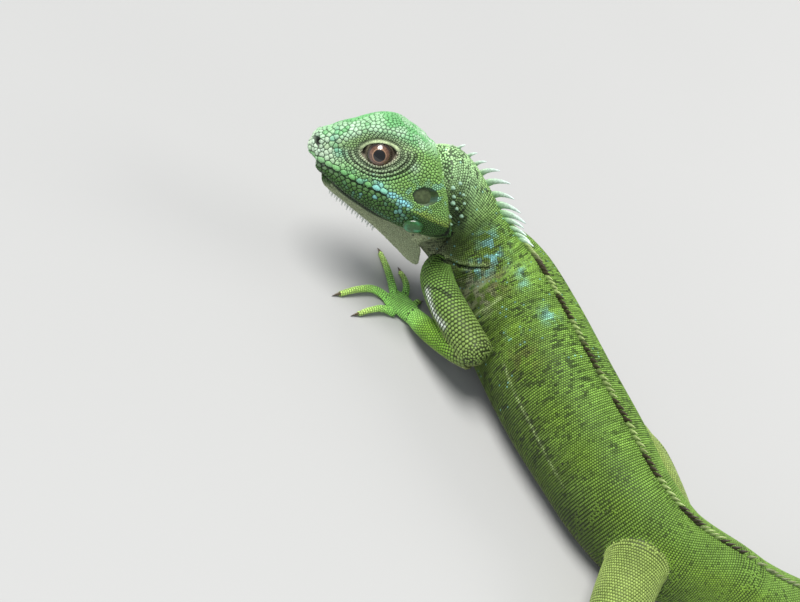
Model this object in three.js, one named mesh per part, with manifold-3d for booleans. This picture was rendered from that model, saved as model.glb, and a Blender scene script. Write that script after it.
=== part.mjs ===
// A young green iguana at rest, life size, in millimetres.
// +Z is up, the trunk points along -X and the animal's left side faces -Y.
// The origin is on the floor, under the pelvis.
import * as THREE from "three";
import { mergeVertices } from "three/addons/utils/BufferGeometryUtils.js";
import Module from "manifold-3d";

const wasm = await Module();
wasm.setup();

// ---- Driving dimensions ----
const GAP = 0.3; // left wherever two pieces meet
const FACET_TOLERANCE = 0.08; // how far a facet may stand off the shape it follows
const LEFT = -1; // sign of y on the animal's left
const RIGHT = 1;

// Spine of the body from the tail root to the nape:
// x, y, z of the section's centre, half width, rise to the back, drop to the belly.
const BODY = [
  [16, 15.5, 19.2, 10.6, 14.4, 14.4],
  [1, 1.5, 17.8, 13.8, 18.2, 18.4],
  [-16, -4, 18.6, 16.4, 19.4, 19.2],
  [-37, -3.6, 19.6, 18.8, 20.4, 20.2],
  [-59, -2.6, 20.3, 19.6, 21.2, 21],
  [-82, -0.2, 21.2, 19.6, 21.4, 20.9],
  [-102, 0.5, 23.6, 18.3, 20.2, 19.6],
  [-113.7, -2.5, 28, 15.1, 17.2, 18.4],
  [-121.9, -6.8, 33.8, 11.6, 13.6, 20.6],
  [-128.4, -12.3, 40, 11.2, 12.1, 22.8],
  [-132.3, -20.1, 44.5, 11.4, 14, 20.6],
  [-134.5, -27.5, 46.5, 11.2, 13.6, 16.6],
];
const BODY_ROUNDNESS = 2.2; // 2 is an ellipse, more is squarer
const NAPE_ROUNDNESS = 1.5; // of the upper half, where the nape rises to its crest
const NAPE_KEEL = { from: [6.8, 8], to: [9.4, 10.4] }; // rows of BODY where it comes and goes
const BODY_SIDES = 16;

// Where the body is parted, as rows of BODY, with the count of steps along each part.
const BODY_PARTS = [
  ["pelvis", 0, 1.65, 4],
  ["trunk_rear", 1.65, 4.1, 6],
  ["trunk_front", 4.1, 7, 7],
  ["neck", 7, 11, 8],
];

// Tail: heading is in degrees from +X towards +Y, at a distance along the tail.
const TAIL_LENGTH = 470;
const TAIL_STEP = 10;
const TAIL_HEADINGS = [
  [0, 44],
  [25, 58],
  [95, 54],
  [200, 20],
  [330, -14],
  [470, -34],
];
const TAIL_HALF_WIDTH = 10.5;
const TAIL_TIP_HALF_WIDTH = 0.6;
const TAIL_TAPER = 1.75;
const TAIL_HEIGHT_RATIO = 1.36; // height over width at the root, falling to 1 at the tip
const TAIL_CLEARANCE = 5; // of its underside at the root
const TAIL_TOUCHDOWN = 110; // where it reaches the floor
const TAIL_SINK = 0.25; // how much of it the floor flat takes off
const TAIL_PIECES = 6;
const TAIL_SIDES = 10;
const TAIL_STEPS = 5; // along each piece

// Head, in its own frame: x runs back from the tip of the snout along the mouth, z up.
const HEAD_PLACE = new THREE.Vector3(-158.4, -57.4, 37.5);
const HEAD_BACK = new THREE.Vector3(0.692, 0.721, 0.03);
const HEAD_UP = new THREE.Vector3(-0.302, 0.252, 0.92);
// x and z of the section's centre, half width, height above and below it, backward lean.
const HEAD = [
  [-1.1, 3.1, 2.8, 2.7, 2.6, 0],
  [0.8, 4.1, 4.9, 6, 6.3, 0],
  [4.2, 4.8, 6.1, 8.4, 9.2, 0],
  [9, 5.8, 7.6, 11.5, 12, 0],
  [14.5, 6.5, 9.3, 15.7, 14, 0],
  [20.5, 7, 10.9, 18, 15.3, 0.03],
  [27, 7, 12.4, 17.4, 15.7, 0.15],
  [34, 7, 13.5, 17, 15.2, 0.35],
  [40, 7.3, 14, 16.4, 14.2, 0.5],
  [44.5, 7.8, 13.3, 15, 12.6, 0.6],
];
const HEAD_ROUNDNESS = 2.8;
const HEAD_SIDES = 20;
const HEAD_REACH = 30; // sideways, beyond both cheeks
const MOUTH = [
  [-6, -0.2],
  [9, 0.7],
  [24, 2.1],
  [34, -10],
]; // side view of the lips, then the rear of the lower jaw
const EYE = { x: 20.2, y: 6, z: 12, radius: 5.2, tilt: 0.47 };
const EYE_DETAIL = 2;
const ORBIT = { y: 12.9, length: 6.6, depth: 3.3, height: 4.5 };
const NOSTRIL = { x: 0.2, y: 4.9, z: 6.6, radius: 1 };
const EARDRUM = { x: 38.3, y: 13.1, z: 7.8, length: 3.8, depth: 0.5, height: 3.1 };
const CHEEK_SHIELD = { x: 39.6, y: 11.5, z: -3, radius: 3.4, depth: 1.3, tilt: 0.75 };
const DEWLAP_THICKNESS = 2;
const DEWLAP = [
  [5, -3],
  [8, -7.2],
  [16, -9.4],
  [22, -11],
  [29.5, -13],
  [39.7, -16.6],
  [45, -18.6],
  [49.2, -18.8],
  [48.2, -14],
  [45.4, -10.5],
  [45, -2],
];

const MATERIALS = {
  skin: { color: 0x6fa63a, roughness: 0.55, metalness: 0 },
  crown: { color: 0x9cc7a2, roughness: 0.5, metalness: 0 },
  dewlap: { color: 0xb7b29c, roughness: 0.6, metalness: 0 },
  limb: { color: 0x7fb043, roughness: 0.55, metalness: 0 },
  foot: { color: 0x8fa750, roughness: 0.55, metalness: 0 },
  tail: { color: 0x77a63e, roughness: 0.55, metalness: 0 },
  eye: { color: 0x7a4a36, roughness: 0.08, metalness: 0 },
  eardrum: { color: 0x6f7a55, roughness: 0.35, metalness: 0 },
  shield: { color: 0x3f9a4d, roughness: 0.3, metalness: 0 },
};

// Limbs: x, y, z and radius of each section's centre, from the body outwards.
const UPPER_ARM = {
  left: [
    [-118, -10.5, 21.5, 5.4],
    [-115, -20, 20.6, 5.7],
    [-100.6, -24.8, 21.5, 6.3],
    [-81.7, -25.6, 21.8, 5.9],
  ],
  right: [
    [-110, 8.6, 21.6, 6],
    [-107, 16.6, 18.6, 6.2],
    [-97, 24, 16, 5.6],
    [-87.5, 28.5, 11.5, 4.9],
  ],
};
const FOREARM = {
  left: [
    [-81.6, -25.6, 19, 5],
    [-88.6, -26.2, 15, 4.9],
    [-100, -26.4, 9.2, 4.1],
    [-108.5, -25.6, 5.6, 3.3],
  ],
  right: [
    [-88, 29, 10.5, 4.5],
    [-93, 32, 8.6, 4.8],
    [-102, 34.5, 6.2, 4],
    [-110, 35, 4.6, 3.2],
  ],
};
const THIGH = {
  left: [
    [-1, -7, 18.5, 9.4],
    [3, -14, 18.5, 10.2],
    [11, -26, 15.5, 9.2],
    [20, -38, 11, 7],
  ],
  right: [
    [-3, 7, 17, 9],
    [-9, 14, 17, 8.8],
    [-24, 21, 16.4, 7.4],
    [-39.5, 25, 15, 5.9],
  ],
};
const SHANK = {
  left: [
    [21.5, -38.5, 10.4, 5.8],
    [30, -41, 9.6, 6.4],
    [43, -40.5, 7.2, 5],
    [56, -38.5, 4.8, 3.5],
  ],
  right: [
    [-38.5, 27, 14, 5.1],
    [-30, 29.6, 12.6, 5.6],
    [-17.5, 32, 9.4, 4.5],
    [-5, 33.2, 5.6, 3.5],
  ],
};
const LIMB_SIDES = 8;
const LIMB_STEPS = 5;

// Hands and feet: the sole's centre, the heading of its length from straight ahead
// towards the animal's own side in degrees, and its size.
const HAND = {
  left: { x: -115, y: -24, heading: 15 },
  right: { x: -116.5, y: 35.2, heading: -5 },
  length: 13,
  width: 11,
  height: 5.6,
};
const FOOT = {
  left: { x: 55.5, y: -47.5, heading: 74 },
  right: { x: -14.5, y: 35, heading: 0 },
  length: 24,
  width: 10,
  height: 6,
};
// Digits from the inner to the outer: place along and across the sole as shares of its
// length and width, heading at the root and at the tip in degrees, length, root radius.
const FINGERS = [
  [-0.1, -0.38, -78, -92, 5, 1.4],
  [0.26, -0.44, -52, -34, 12, 1.5],
  [0.42, -0.12, -29, -33, 20, 1.6],
  [0.38, 0.18, 28, 72, 20.5, 1.7],
  [0.02, 0.44, 50, 73, 14.5, 1.55],
];
const TOES = [
  [-0.05, -0.42, -38, -22, 10, 1.5],
  [0.25, -0.34, -18, -30, 17, 1.7],
  [0.42, -0.1, -6, -14, 26, 1.9],
  [0.4, 0.18, 6, -2, 36, 2],
  [-0.15, 0.34, 22, 34, 16, 1.7],
];
const DIGIT_SIDES = 5;
const DIGIT_TAPER = 0.62;
const CLAW_LENGTH = 3.6;
// Along the claw: share of its length, height of its middle and radius over the digit tip's.
const CLAW = [
  [0.25, 0.85, 0.6],
  [1, 0.16, 0.15],
];
const SOLE_SINK = 0.15; // how much of a sole the floor flat takes off
const DIGIT_RISE = 1.4; // arch of a digit between its root and its claw

// Crest: spines stand on the mid-line of the back.
// Heights of the spines on the neck, from the shoulders to the head.
const NAPE_SPINES = [3.8, 4, 4.3, 5, 6.8, 6.4, 5.9, 6.6, 5.4, 3.2, 2.6, 2.2];
const NAPE_SPINES_END_ROW = 10.65;
const BACK_SPINE = 3;
const BACK_SPINE_SPACING = 6.8;
const TAIL_SPINE = 2.6;
const TAIL_SPINE_SPACING = 11;
const TAIL_SPINES_END = 0.5;
const CURVED_SPINE = 4.5; // height above which a spine curves
const SPINE_LEAN = 0.75; // how far a tip trails behind its root, over its height
const GULAR_SPINES = 6;
const GULAR_SPINE = 2.6;
const GULAR_SPINE_LEAN = 0.4;
const GULAR_EDGE = [[11, -7.8], [29.5, -12.6]]; // x and z in the head's frame

const UP = new THREE.Vector3(0, 0, 1);

// ---- Solids from three.js geometry ----
function solidOf(geometry, place) {
  const shape = geometry.clone();
  shape.deleteAttribute("normal");
  shape.deleteAttribute("uv");
  if (place) shape.applyMatrix4(place);
  const merged = mergeVertices(shape, 1e-4);
  return new wasm.Manifold(
    new wasm.Mesh({
      numProp: 3,
      vertProperties: merged.attributes.position.array,
      triVerts: new Uint32Array(merged.index.array),
    }),
  );
}

function geometryOf(solid) {
  const mesh = solid.getMesh();
  const geometry = new THREE.BufferGeometry();
  geometry.setAttribute("position", new THREE.BufferAttribute(mesh.vertProperties, 3));
  geometry.setIndex(new THREE.BufferAttribute(mesh.triVerts, 1));
  return geometry;
}

function meshOf(name, solid, finish) {
  const geometry = geometryOf(solid.simplify(FACET_TOLERANCE)).toNonIndexed();
  geometry.computeVertexNormals();
  const mesh = new THREE.Mesh(geometry, new THREE.MeshStandardMaterial(MATERIALS[finish]));
  mesh.name = name;
  return mesh;
}

// A point of an ellipse-like section at an angle, where a higher roundness is squarer.
function sectionPoint(angle, width, above, below, roundness) {
  const power = 2 / roundness;
  const c = Math.cos(angle);
  const s = Math.sin(angle);
  const across = Math.sign(c) * Math.pow(Math.abs(c), power) * width;
  const rise = Math.sign(s) * Math.pow(Math.abs(s), power) * (s > 0 ? above : below);
  return [across, rise];
}

// A closed skin through rings of points, each ring with the same count, ends fanned shut.
function closedRings(rings) {
  const count = rings[0].length;
  const positions = rings.flat().flatMap((p) => [p.x, p.y, p.z]);
  const faces = [];
  for (let i = 0; i < rings.length - 1; i++) {
    for (let j = 0; j < count; j++) {
      const a = i * count + j;
      const b = i * count + ((j + 1) % count);
      faces.push(a, b, b + count, a, b + count, a + count);
    }
  }
  for (const end of [0, rings.length - 1]) {
    const middle = new THREE.Vector3();
    rings[end].forEach((p) => middle.addScaledVector(p, 1 / count));
    const tip = positions.length / 3;
    positions.push(middle.x, middle.y, middle.z);
    for (let j = 0; j < count; j++) {
      const a = end * count + j;
      const b = end * count + ((j + 1) % count);
      if (end === 0) faces.push(b, a, tip);
      else faces.push(a, b, tip);
    }
  }
  const geometry = new THREE.BufferGeometry();
  geometry.setAttribute("position", new THREE.Float32BufferAttribute(positions, 3));
  geometry.setIndex(faces);
  return geometry;
}

// A body part swept along a path. section(u) gives its half width, its height above and
// below the path, its backward lean, the direction that is up there and, where it differs,
// the roundness of its upper half.
function sweep(path, section, options) {
  const { from = 0, to = 1, steps, sides, roundness = 2, grow = 0 } = options;
  const { roundStart = 0, roundEnd = 0, flatBelow = false } = options;
  const firstAngle = flatBelow ? Math.PI / sides - Math.PI / 2 : 0;
  const rings = [];
  const ring = (u, shift, scale) => {
    const centre = path.getPoint(u);
    const along = path.getTangent(u);
    const { width, above, below, lean = 0, up = UP, roundAbove = roundness } = section(u);
    const across = new THREE.Vector3().crossVectors(up, along).normalize();
    const rise = new THREE.Vector3().crossVectors(along, across).normalize();
    centre.addScaledVector(along, shift);
    const points = [];
    for (let j = 0; j < sides; j++) {
      const angle = firstAngle + (2 * Math.PI * j) / sides;
      const round = Math.sin(angle) > 0 ? roundAbove : roundness;
      const [a, r] = sectionPoint(angle, width + grow, above + grow, below + grow, round);
      points.push(
        centre.clone().addScaledVector(across, a * scale)
          .addScaledVector(rise, r * scale)
          .addScaledVector(along, -lean * r * scale),
      );
    }
    rings.push(points);
  };
  const dome = steps > 5 ? [0.88, 0.5] : [0.72];
  const bulge = (scale) => Math.sqrt(1 - scale * scale);
  if (roundStart)
    for (const s of [...dome].reverse()) ring(from, -(roundStart + grow) * bulge(s), s);
  for (let i = 0; i <= steps; i++) ring(from + ((to - from) * i) / steps, 0, 1);
  if (roundEnd) for (const s of dome) ring(to, (roundEnd + grow) * bulge(s), s);
  return closedRings(rings);
}

// Values that run smoothly through the rows of a table, read at places from 0 to 1.
function smooth(rows) {
  const curves = [];
  for (let first = 0; first < rows[0].length; first += 3) {
    const points = rows.map((r) => new THREE.Vector3(...[0, 1, 2].map((k) => r[first + k] ?? 0)));
    curves.push(new THREE.CatmullRomCurve3(points, false, "catmullrom", 0.5));
  }
  return (u) => curves.flatMap((curve) => curve.getPoint(u).toArray());
}

function pathThrough(rows) {
  const points = rows.map(([x, y, z]) => new THREE.Vector3(x, y, z));
  return new THREE.CatmullRomCurve3(points, false, "catmullrom", 0.5);
}

function ellipsoid(radii, place, turn = [0, 0, 0], detail = 1) {
  const geometry = new THREE.IcosahedronGeometry(1, detail);
  const rotation = new THREE.Quaternion().setFromEuler(new THREE.Euler(...turn));
  const matrix = new THREE.Matrix4().compose(
    new THREE.Vector3(...place),
    rotation,
    new THREE.Vector3(...radii),
  );
  return solidOf(geometry, matrix);
}

// A thin spine that rises from its root and trails backwards. A tall one is curved.
function spine(root, up, back, height, lean = SPINE_LEAN) {
  const length = 0.42 * height + 0.7;
  const thickness = 0.16 * height + 0.35;
  const across = new THREE.Vector3().crossVectors(up, back).normalize();
  const middle = height > CURVED_SPINE ? [[0.5, 0.7]] : [];
  const rings = [[-0.3, 1.2], ...middle, [1, 0.1]].map(([rise, size]) => {
    const centre = root.clone().addScaledVector(up, rise * height);
    centre.addScaledVector(back, lean * height * Math.max(0, rise) ** 1.8);
    return [[-0.6, 0], [0.4, -1], [0.4, 1]].map(([b, a]) =>
      centre.clone().addScaledVector(back, b * length * size)
        .addScaledVector(across, a * thickness * size),
    );
  });
  return solidOf(closedRings(rings));
}

function joined(solids) {
  return solids.reduce((whole, piece) => whole.add(piece));
}

const floor = solidOf(
  new THREE.BoxGeometry(1600, 1600, 60),
  new THREE.Matrix4().makeTranslation(0, 0, -30),
);

// ---- Head frame ----
const headAcross = new THREE.Vector3().crossVectors(HEAD_UP, HEAD_BACK).normalize();
const headBack = HEAD_BACK.clone().normalize();
const headUp = new THREE.Vector3().crossVectors(headBack, headAcross);
const headMatrix = new THREE.Matrix4()
  .makeBasis(headBack, headAcross, headUp)
  .setPosition(HEAD_PLACE);
const intoHead = headMatrix.clone().invert();

// ---- Body ----
function tailHeading(distance) {
  let i = 0;
  while (i < TAIL_HEADINGS.length - 2 && distance > TAIL_HEADINGS[i + 1][0]) i++;
  const [[d0, h0], [d1, h1]] = [TAIL_HEADINGS[i], TAIL_HEADINGS[i + 1]];
  const turn = THREE.MathUtils.smoothstep(distance, d0, d1);
  return THREE.MathUtils.degToRad(h0 + (h1 - h0) * turn);
}

// Rows like those of BODY, from the tip of the tail to just short of its root.
function tailRows() {
  const rows = [];
  let [x, y] = BODY[0];
  for (let distance = TAIL_STEP; distance <= TAIL_LENGTH; distance += TAIL_STEP) {
    const heading = tailHeading(distance - TAIL_STEP / 2);
    x += TAIL_STEP * Math.cos(heading);
    y += TAIL_STEP * Math.sin(heading);
    const taper = Math.pow(1 - distance / TAIL_LENGTH, TAIL_TAPER);
    const half = TAIL_TIP_HALF_WIDTH + (TAIL_HALF_WIDTH - TAIL_TIP_HALF_WIDTH) * taper;
    const rise = half * (1 + (TAIL_HEIGHT_RATIO - 1) * taper);
    const lift = Math.max(0, 1 - distance / TAIL_TOUCHDOWN);
    const clear = TAIL_CLEARANCE * lift * lift - TAIL_SINK * (1 - lift);
    rows.unshift([x, y, rise + clear, half, rise, rise]);
  }
  return rows;
}

const tail = tailRows();
const spineRows = [...tail, ...BODY];
const spinePath = pathThrough(spineRows);
const spineValues = smooth(spineRows);
const atBodyRow = (row) => (tail.length + row) / (spineRows.length - 1);
function spineSection(u) {
  const [, , , width, above, below] = spineValues(u);
  const turned = THREE.MathUtils.smoothstep(u, atBodyRow(7.4), 1);
  const up = UP.clone().lerp(headUp, turned).normalize();
  const [comes, goes] = [NAPE_KEEL.from, NAPE_KEEL.to].map(([first, last]) =>
    THREE.MathUtils.smoothstep(u, atBodyRow(first), atBodyRow(last)),
  );
  const keel = comes * (1 - goes);
  const roundAbove = BODY_ROUNDNESS + (NAPE_ROUNDNESS - BODY_ROUNDNESS) * keel;
  return { width, above, below, up, roundAbove };
}
function spineGeometry(from, to, options) {
  return sweep(spinePath, spineSection, { from, to, roundness: BODY_ROUNDNESS, ...options });
}

function headGeometry(grow = 0) {
  const values = smooth(HEAD.map(([x, z, w, a, b, lean]) => [x, 0, z, w, a, b, lean, 0, 0]));
  const path = pathThrough(HEAD.map(([x, z]) => [x, 0, z]));
  const section = (u) => {
    const [, , , width, above, below, lean] = values(u);
    return { width, above, below, lean };
  };
  return sweep(path, section, {
    steps: 11, sides: HEAD_SIDES, roundness: HEAD_ROUNDNESS, grow, roundStart: 1.4, roundEnd: 2,
  });
}

// The mid-line of the back at a place along the spine, with its directions.
function crestAt(u) {
  const ahead = spinePath.getTangent(u);
  const { above, up } = spineSection(u);
  const across = new THREE.Vector3().crossVectors(up, ahead).normalize();
  const rise = new THREE.Vector3().crossVectors(ahead, across).normalize();
  return { root: spinePath.getPoint(u).addScaledVector(rise, above), rise, ahead };
}

// Places that cut the mid-line of the back between two others into equal lengths, at the
// middle of each length.
function crestPlaces(from, to, count) {
  const samples = 60;
  const places = [];
  const reached = [0];
  const spots = Array.from({ length: samples + 1 }, (_, i) => from + ((to - from) * i) / samples);
  for (let i = 1; i <= samples; i++) {
    const step = crestAt(spots[i]).root.distanceTo(crestAt(spots[i - 1]).root);
    reached.push(reached[i - 1] + step);
  }
  for (let k = 0; k < count; k++) {
    const wanted = (reached[samples] * (k + 0.5)) / count;
    const i = reached.findIndex((length) => length > wanted);
    const share = (wanted - reached[i - 1]) / (reached[i] - reached[i - 1]);
    places.push(spots[i - 1] + (spots[i] - spots[i - 1]) * share);
  }
  return places;
}

function crestSpines(from, to, count, heightAt) {
  return crestPlaces(from, to, count).map((u, i) => {
    const { root, rise, ahead } = crestAt(u);
    return spine(root, rise, ahead.negate(), heightAt(i, u));
  });
}

function lengthBetween(path, from, to) {
  let length = 0;
  const parts = 12;
  for (let i = 0; i < parts; i++) {
    const a = path.getPoint(from + ((to - from) * i) / parts);
    length += a.distanceTo(path.getPoint(from + ((to - from) * (i + 1)) / parts));
  }
  return length;
}

// Half of the parting gap, as a step along the path.
function halfGap(path, u) {
  const step = 0.002;
  const speed = lengthBetween(path, Math.max(0, u - step), Math.min(1, u + step));
  const span = Math.min(1, u + step) - Math.max(0, u - step);
  return (GAP / 2) * (span / speed);
}

function partedRange(path, from, to) {
  return [from > 0 ? from + halfGap(path, from) : 0, to < 1 ? to - halfGap(path, to) : 1];
}

const iguana = new THREE.Group();
const headGrown = solidOf(headGeometry(GAP), headMatrix);
function partCutter([, fromRow, toRow, steps], place) {
  const options = { steps, sides: BODY_SIDES, grow: GAP };
  return solidOf(spineGeometry(atBodyRow(fromRow), atBodyRow(toRow), options), place);
}
function bodyCutter(place) {
  return joined(BODY_PARTS.map((part) => partCutter(part, place)));
}
const bodyGrown = bodyCutter();

let partBehind = null;
for (const part of BODY_PARTS) {
  const [name, fromRow, toRow, steps] = part;
  const [start, end] = partedRange(spinePath, atBodyRow(fromRow), atBodyRow(toRow));
  let solid = solidOf(spineGeometry(start, end, { steps, sides: BODY_SIDES }));
  const onNeck = name === "neck";
  const spinesEnd = onNeck ? atBodyRow(NAPE_SPINES_END_ROW) : end;
  const room = Math.round(lengthBetween(spinePath, start, spinesEnd) / BACK_SPINE_SPACING);
  const count = onNeck ? NAPE_SPINES.length : room;
  const heightAt = (i) => (onNeck ? NAPE_SPINES[i] : BACK_SPINE);
  let spines = joined(crestSpines(start, spinesEnd, count, heightAt));
  if (partBehind) spines = spines.subtract(partBehind);
  partBehind = partCutter(part);
  solid = solid.add(spines).subtract(floor);
  if (onNeck) solid = solid.subtract(headGrown);
  iguana.add(meshOf(name, solid, "skin"));
}

// ---- Tail ----
for (let i = 0; i < TAIL_PIECES; i++) {
  const share = [(i + 1) / TAIL_PIECES, i / TAIL_PIECES];
  const [from, to] = share.map((s) => atBodyRow(0) * (1 - s));
  const [start, end] = partedRange(spinePath, from, to);
  const last = i === TAIL_PIECES - 1;
  const options = { steps: TAIL_STEPS, sides: TAIL_SIDES, roundStart: last ? 1.5 : 0 };
  let solid = solidOf(spineGeometry(start, end, options));
  const spinesStart = Math.max(start, atBodyRow(0) * (1 - TAIL_SPINES_END));
  const length = end > spinesStart ? lengthBetween(spinePath, spinesStart, end) : 0;
  const count = Math.round(length / TAIL_SPINE_SPACING);
  const heightAt = (_, u) => 0.5 + (TAIL_SPINE * u) / atBodyRow(0);
  solid = joined([solid, ...crestSpines(spinesStart, end, count, heightAt)]).subtract(floor);
  iguana.add(meshOf(`tail_${i + 1}`, solid, "tail"));
}

// ---- Limbs ----
// A round body through rows of x, y, z and radius.
function tube(rows, options) {
  const values = smooth(rows.map(([x, y, z, r]) => [x, y, z, r, 0, 0]));
  const section = (u) => {
    const [, , , radius] = values(u);
    return { width: radius, above: radius, below: radius };
  };
  return solidOf(sweep(pathThrough(rows), section, options));
}

function limb(rows, grow = 0) {
  const endRadius = rows[rows.length - 1][3];
  return tube(rows, { steps: LIMB_STEPS, sides: LIMB_SIDES, grow, roundEnd: 0.8 * endRadius });
}

// Directions on the floor: a heading of 0 points ahead, 90 points to the animal's own side.
function headed(degrees, side) {
  const angle = THREE.MathUtils.degToRad(degrees);
  return new THREE.Vector3(-Math.cos(angle), side * Math.sin(angle), 0);
}

// A digit arches from its root to the floor and ends in a claw.
function digit(root, heading, side, [, , turn0, turn1, length, radius]) {
  const joints = length > 30 ? 4 : 3;
  const tipRadius = DIGIT_TAPER * radius;
  const flat = Math.cos(Math.PI / DIGIT_SIDES);
  const spot = root.clone();
  const rows = [];
  for (let i = 0; i <= joints; i++) {
    const turn = THREE.MathUtils.smoothstep((i - 0.5) / joints, 0.25, 0.6);
    const ahead = headed(heading + turn0 + (turn1 - turn0) * turn, side);
    if (i > 0) spot.addScaledVector(ahead, length / joints);
    const r = radius + ((tipRadius - radius) * i) / joints;
    const arch = DIGIT_RISE * Math.sin((Math.PI * i) / joints) ** 1.5;
    rows.push([spot.x, spot.y, flat * r + arch, r]);
  }
  for (const [reach, height, size] of CLAW) {
    const tip = spot.clone().addScaledVector(headed(heading + turn1, side), reach * CLAW_LENGTH);
    rows.push([tip.x, tip.y, height * tipRadius, size * tipRadius]);
  }
  return tube(rows, { steps: rows.length - 1, sides: DIGIT_SIDES, flatBelow: true });
}

function extremity({ x, y, heading }, { length, width, height }, digits, side) {
  const ahead = headed(heading, side);
  const outward = headed(heading + 90, side);
  const sole = new THREE.Vector3(x, y, 0);
  const flat = Math.cos(Math.PI / 8);
  const share = [[-0.5, 0.34, 1], [-0.1, 0.44, 0.9], [0.3, 0.5, 0.66], [0.5, 0.42, 0.5]];
  const rows = share.map(([reach, broad, tall]) => {
    const spot = sole.clone().addScaledVector(ahead, reach * length);
    const thick = (tall * height) / 2;
    return [spot.x, spot.y, flat * thick - SOLE_SINK, broad * width, thick, 0];
  });
  const values = smooth(rows);
  const palm = sweep(
    pathThrough(rows),
    (u) => {
      const [, , , half, thick] = values(u);
      return { width: half, above: thick, below: thick };
    },
    { steps: 3, sides: 8, flatBelow: true, roundStart: 1.5, roundEnd: 1.2 },
  );
  const pieces = [solidOf(palm)];
  for (const row of digits) {
    const root = sole.clone().addScaledVector(ahead, row[0] * length);
    root.addScaledVector(outward, row[1] * width);
    pieces.push(digit(root, heading, side, row));
  }
  return joined(pieces);
}

for (const [sideName, side] of [["left", LEFT], ["right", RIGHT]]) {
  const upperArm = limb(UPPER_ARM[sideName]).subtract(bodyGrown);
  const upperArmGrown = limb(UPPER_ARM[sideName], GAP);
  const forearm = limb(FOREARM[sideName]).subtract(bodyGrown).subtract(upperArmGrown);
  const hand = extremity(HAND[sideName], HAND, FINGERS, side);
  const thigh = limb(THIGH[sideName]).subtract(bodyGrown);
  const shank = limb(SHANK[sideName]).subtract(bodyGrown).subtract(limb(THIGH[sideName], GAP));
  const foot = extremity(FOOT[sideName], FOOT, TOES, side);
  const handCut = hand.subtract(limb(FOREARM[sideName], GAP)).subtract(bodyGrown);
  const footCut = foot.subtract(limb(SHANK[sideName], GAP)).subtract(bodyGrown);
  iguana.add(meshOf(`upper_arm_${sideName}`, upperArm.subtract(floor), "limb"));
  iguana.add(meshOf(`forearm_${sideName}`, forearm.subtract(floor), "limb"));
  iguana.add(meshOf(`hand_${sideName}`, handCut.subtract(floor), "foot"));
  iguana.add(meshOf(`thigh_${sideName}`, thigh.subtract(floor), "limb"));
  iguana.add(meshOf(`shank_${sideName}`, shank.subtract(floor), "limb"));
  iguana.add(meshOf(`foot_${sideName}`, footCut.subtract(floor), "foot"));
}

// ---- Head, modelled in its own frame ----
const head = new THREE.Group();
head.applyMatrix4(headMatrix);
iguana.add(head);

function sideView(outline, halfWidth, bevel = 0) {
  const shape = new THREE.Shape(outline.map(([x, z]) => new THREE.Vector2(x, z)));
  const geometry = new THREE.ExtrudeGeometry(shape, {
    depth: 2 * (halfWidth - bevel),
    bevelEnabled: bevel > 0,
    bevelThickness: bevel,
    bevelSize: 0.6 * bevel,
    bevelOffset: -0.6 * bevel,
    bevelSegments: 1,
  });
  const turn = new THREE.Matrix4().makeRotationX(Math.PI / 2);
  return solidOf(geometry.translate(0, 0, -(halfWidth - bevel)).applyMatrix4(turn));
}

const headWhole = solidOf(headGeometry());
const headCutter = solidOf(headGeometry(GAP));
const belowJaw = [MOUTH[0][0], -12];
const jawOutline = [...MOUTH, belowJaw];
const jawOutlineGrown = [
  ...MOUTH.map(([x, z], i) => [x + (i > 1 ? 0.75 * GAP : 0), z + GAP]),
  belowJaw,
];
const jaw = headWhole.intersect(sideView(jawOutline, HEAD_REACH));
let skull = headWhole.subtract(sideView(jawOutlineGrown, HEAD_REACH));
for (const [sideName, side] of [["left", LEFT], ["right", RIGHT]]) {
  const eyePlace = [EYE.x, side * EYE.y, EYE.z];
  const socket = EYE.radius + GAP;
  const orbitRadii = [ORBIT.length, ORBIT.depth, ORBIT.height];
  const orbit = ellipsoid(orbitRadii, [EYE.x, side * ORBIT.y, EYE.z], [0, -EYE.tilt, 0]);
  const { length, depth, height } = EARDRUM;
  const earPlace = [EARDRUM.x, side * EARDRUM.y, EARDRUM.z];
  const earHollow = ellipsoid([length + GAP, 1.4, height + GAP], earPlace);
  const nostrilPlace = [NOSTRIL.x, side * NOSTRIL.y, NOSTRIL.z];
  const nostril = ellipsoid(Array(3).fill(NOSTRIL.radius), nostrilPlace, [0, 0, 0], 0);
  const eyeHollow = ellipsoid(Array(3).fill(socket), eyePlace, [0, 0, 0], EYE_DETAIL);
  skull = skull.subtract(orbit).subtract(eyeHollow);
  skull = skull.subtract(earHollow).subtract(nostril);
  const shieldPlace = [CHEEK_SHIELD.x, side * CHEEK_SHIELD.y, CHEEK_SHIELD.z];
  const shieldRadii = [CHEEK_SHIELD.radius, CHEEK_SHIELD.depth, CHEEK_SHIELD.radius];
  const shield = ellipsoid(shieldRadii, shieldPlace, [side * CHEEK_SHIELD.tilt, 0, 0]);
  const eye = ellipsoid(Array(3).fill(EYE.radius), eyePlace, [0, 0, 0], EYE_DETAIL);
  const eardrum = ellipsoid([length, depth, height], earPlace);
  head.add(meshOf(`eye_${sideName}`, eye, "eye"));
  head.add(meshOf(`eardrum_${sideName}`, eardrum, "eardrum"));
  const shieldCut = shield.subtract(headCutter).subtract(bodyCutter(intoHead));
  head.add(meshOf(`cheek_shield_${sideName}`, shieldCut, "shield"));
}
head.add(meshOf("head", skull, "crown"));
head.add(meshOf("lower_jaw", jaw, "skin"));

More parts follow.
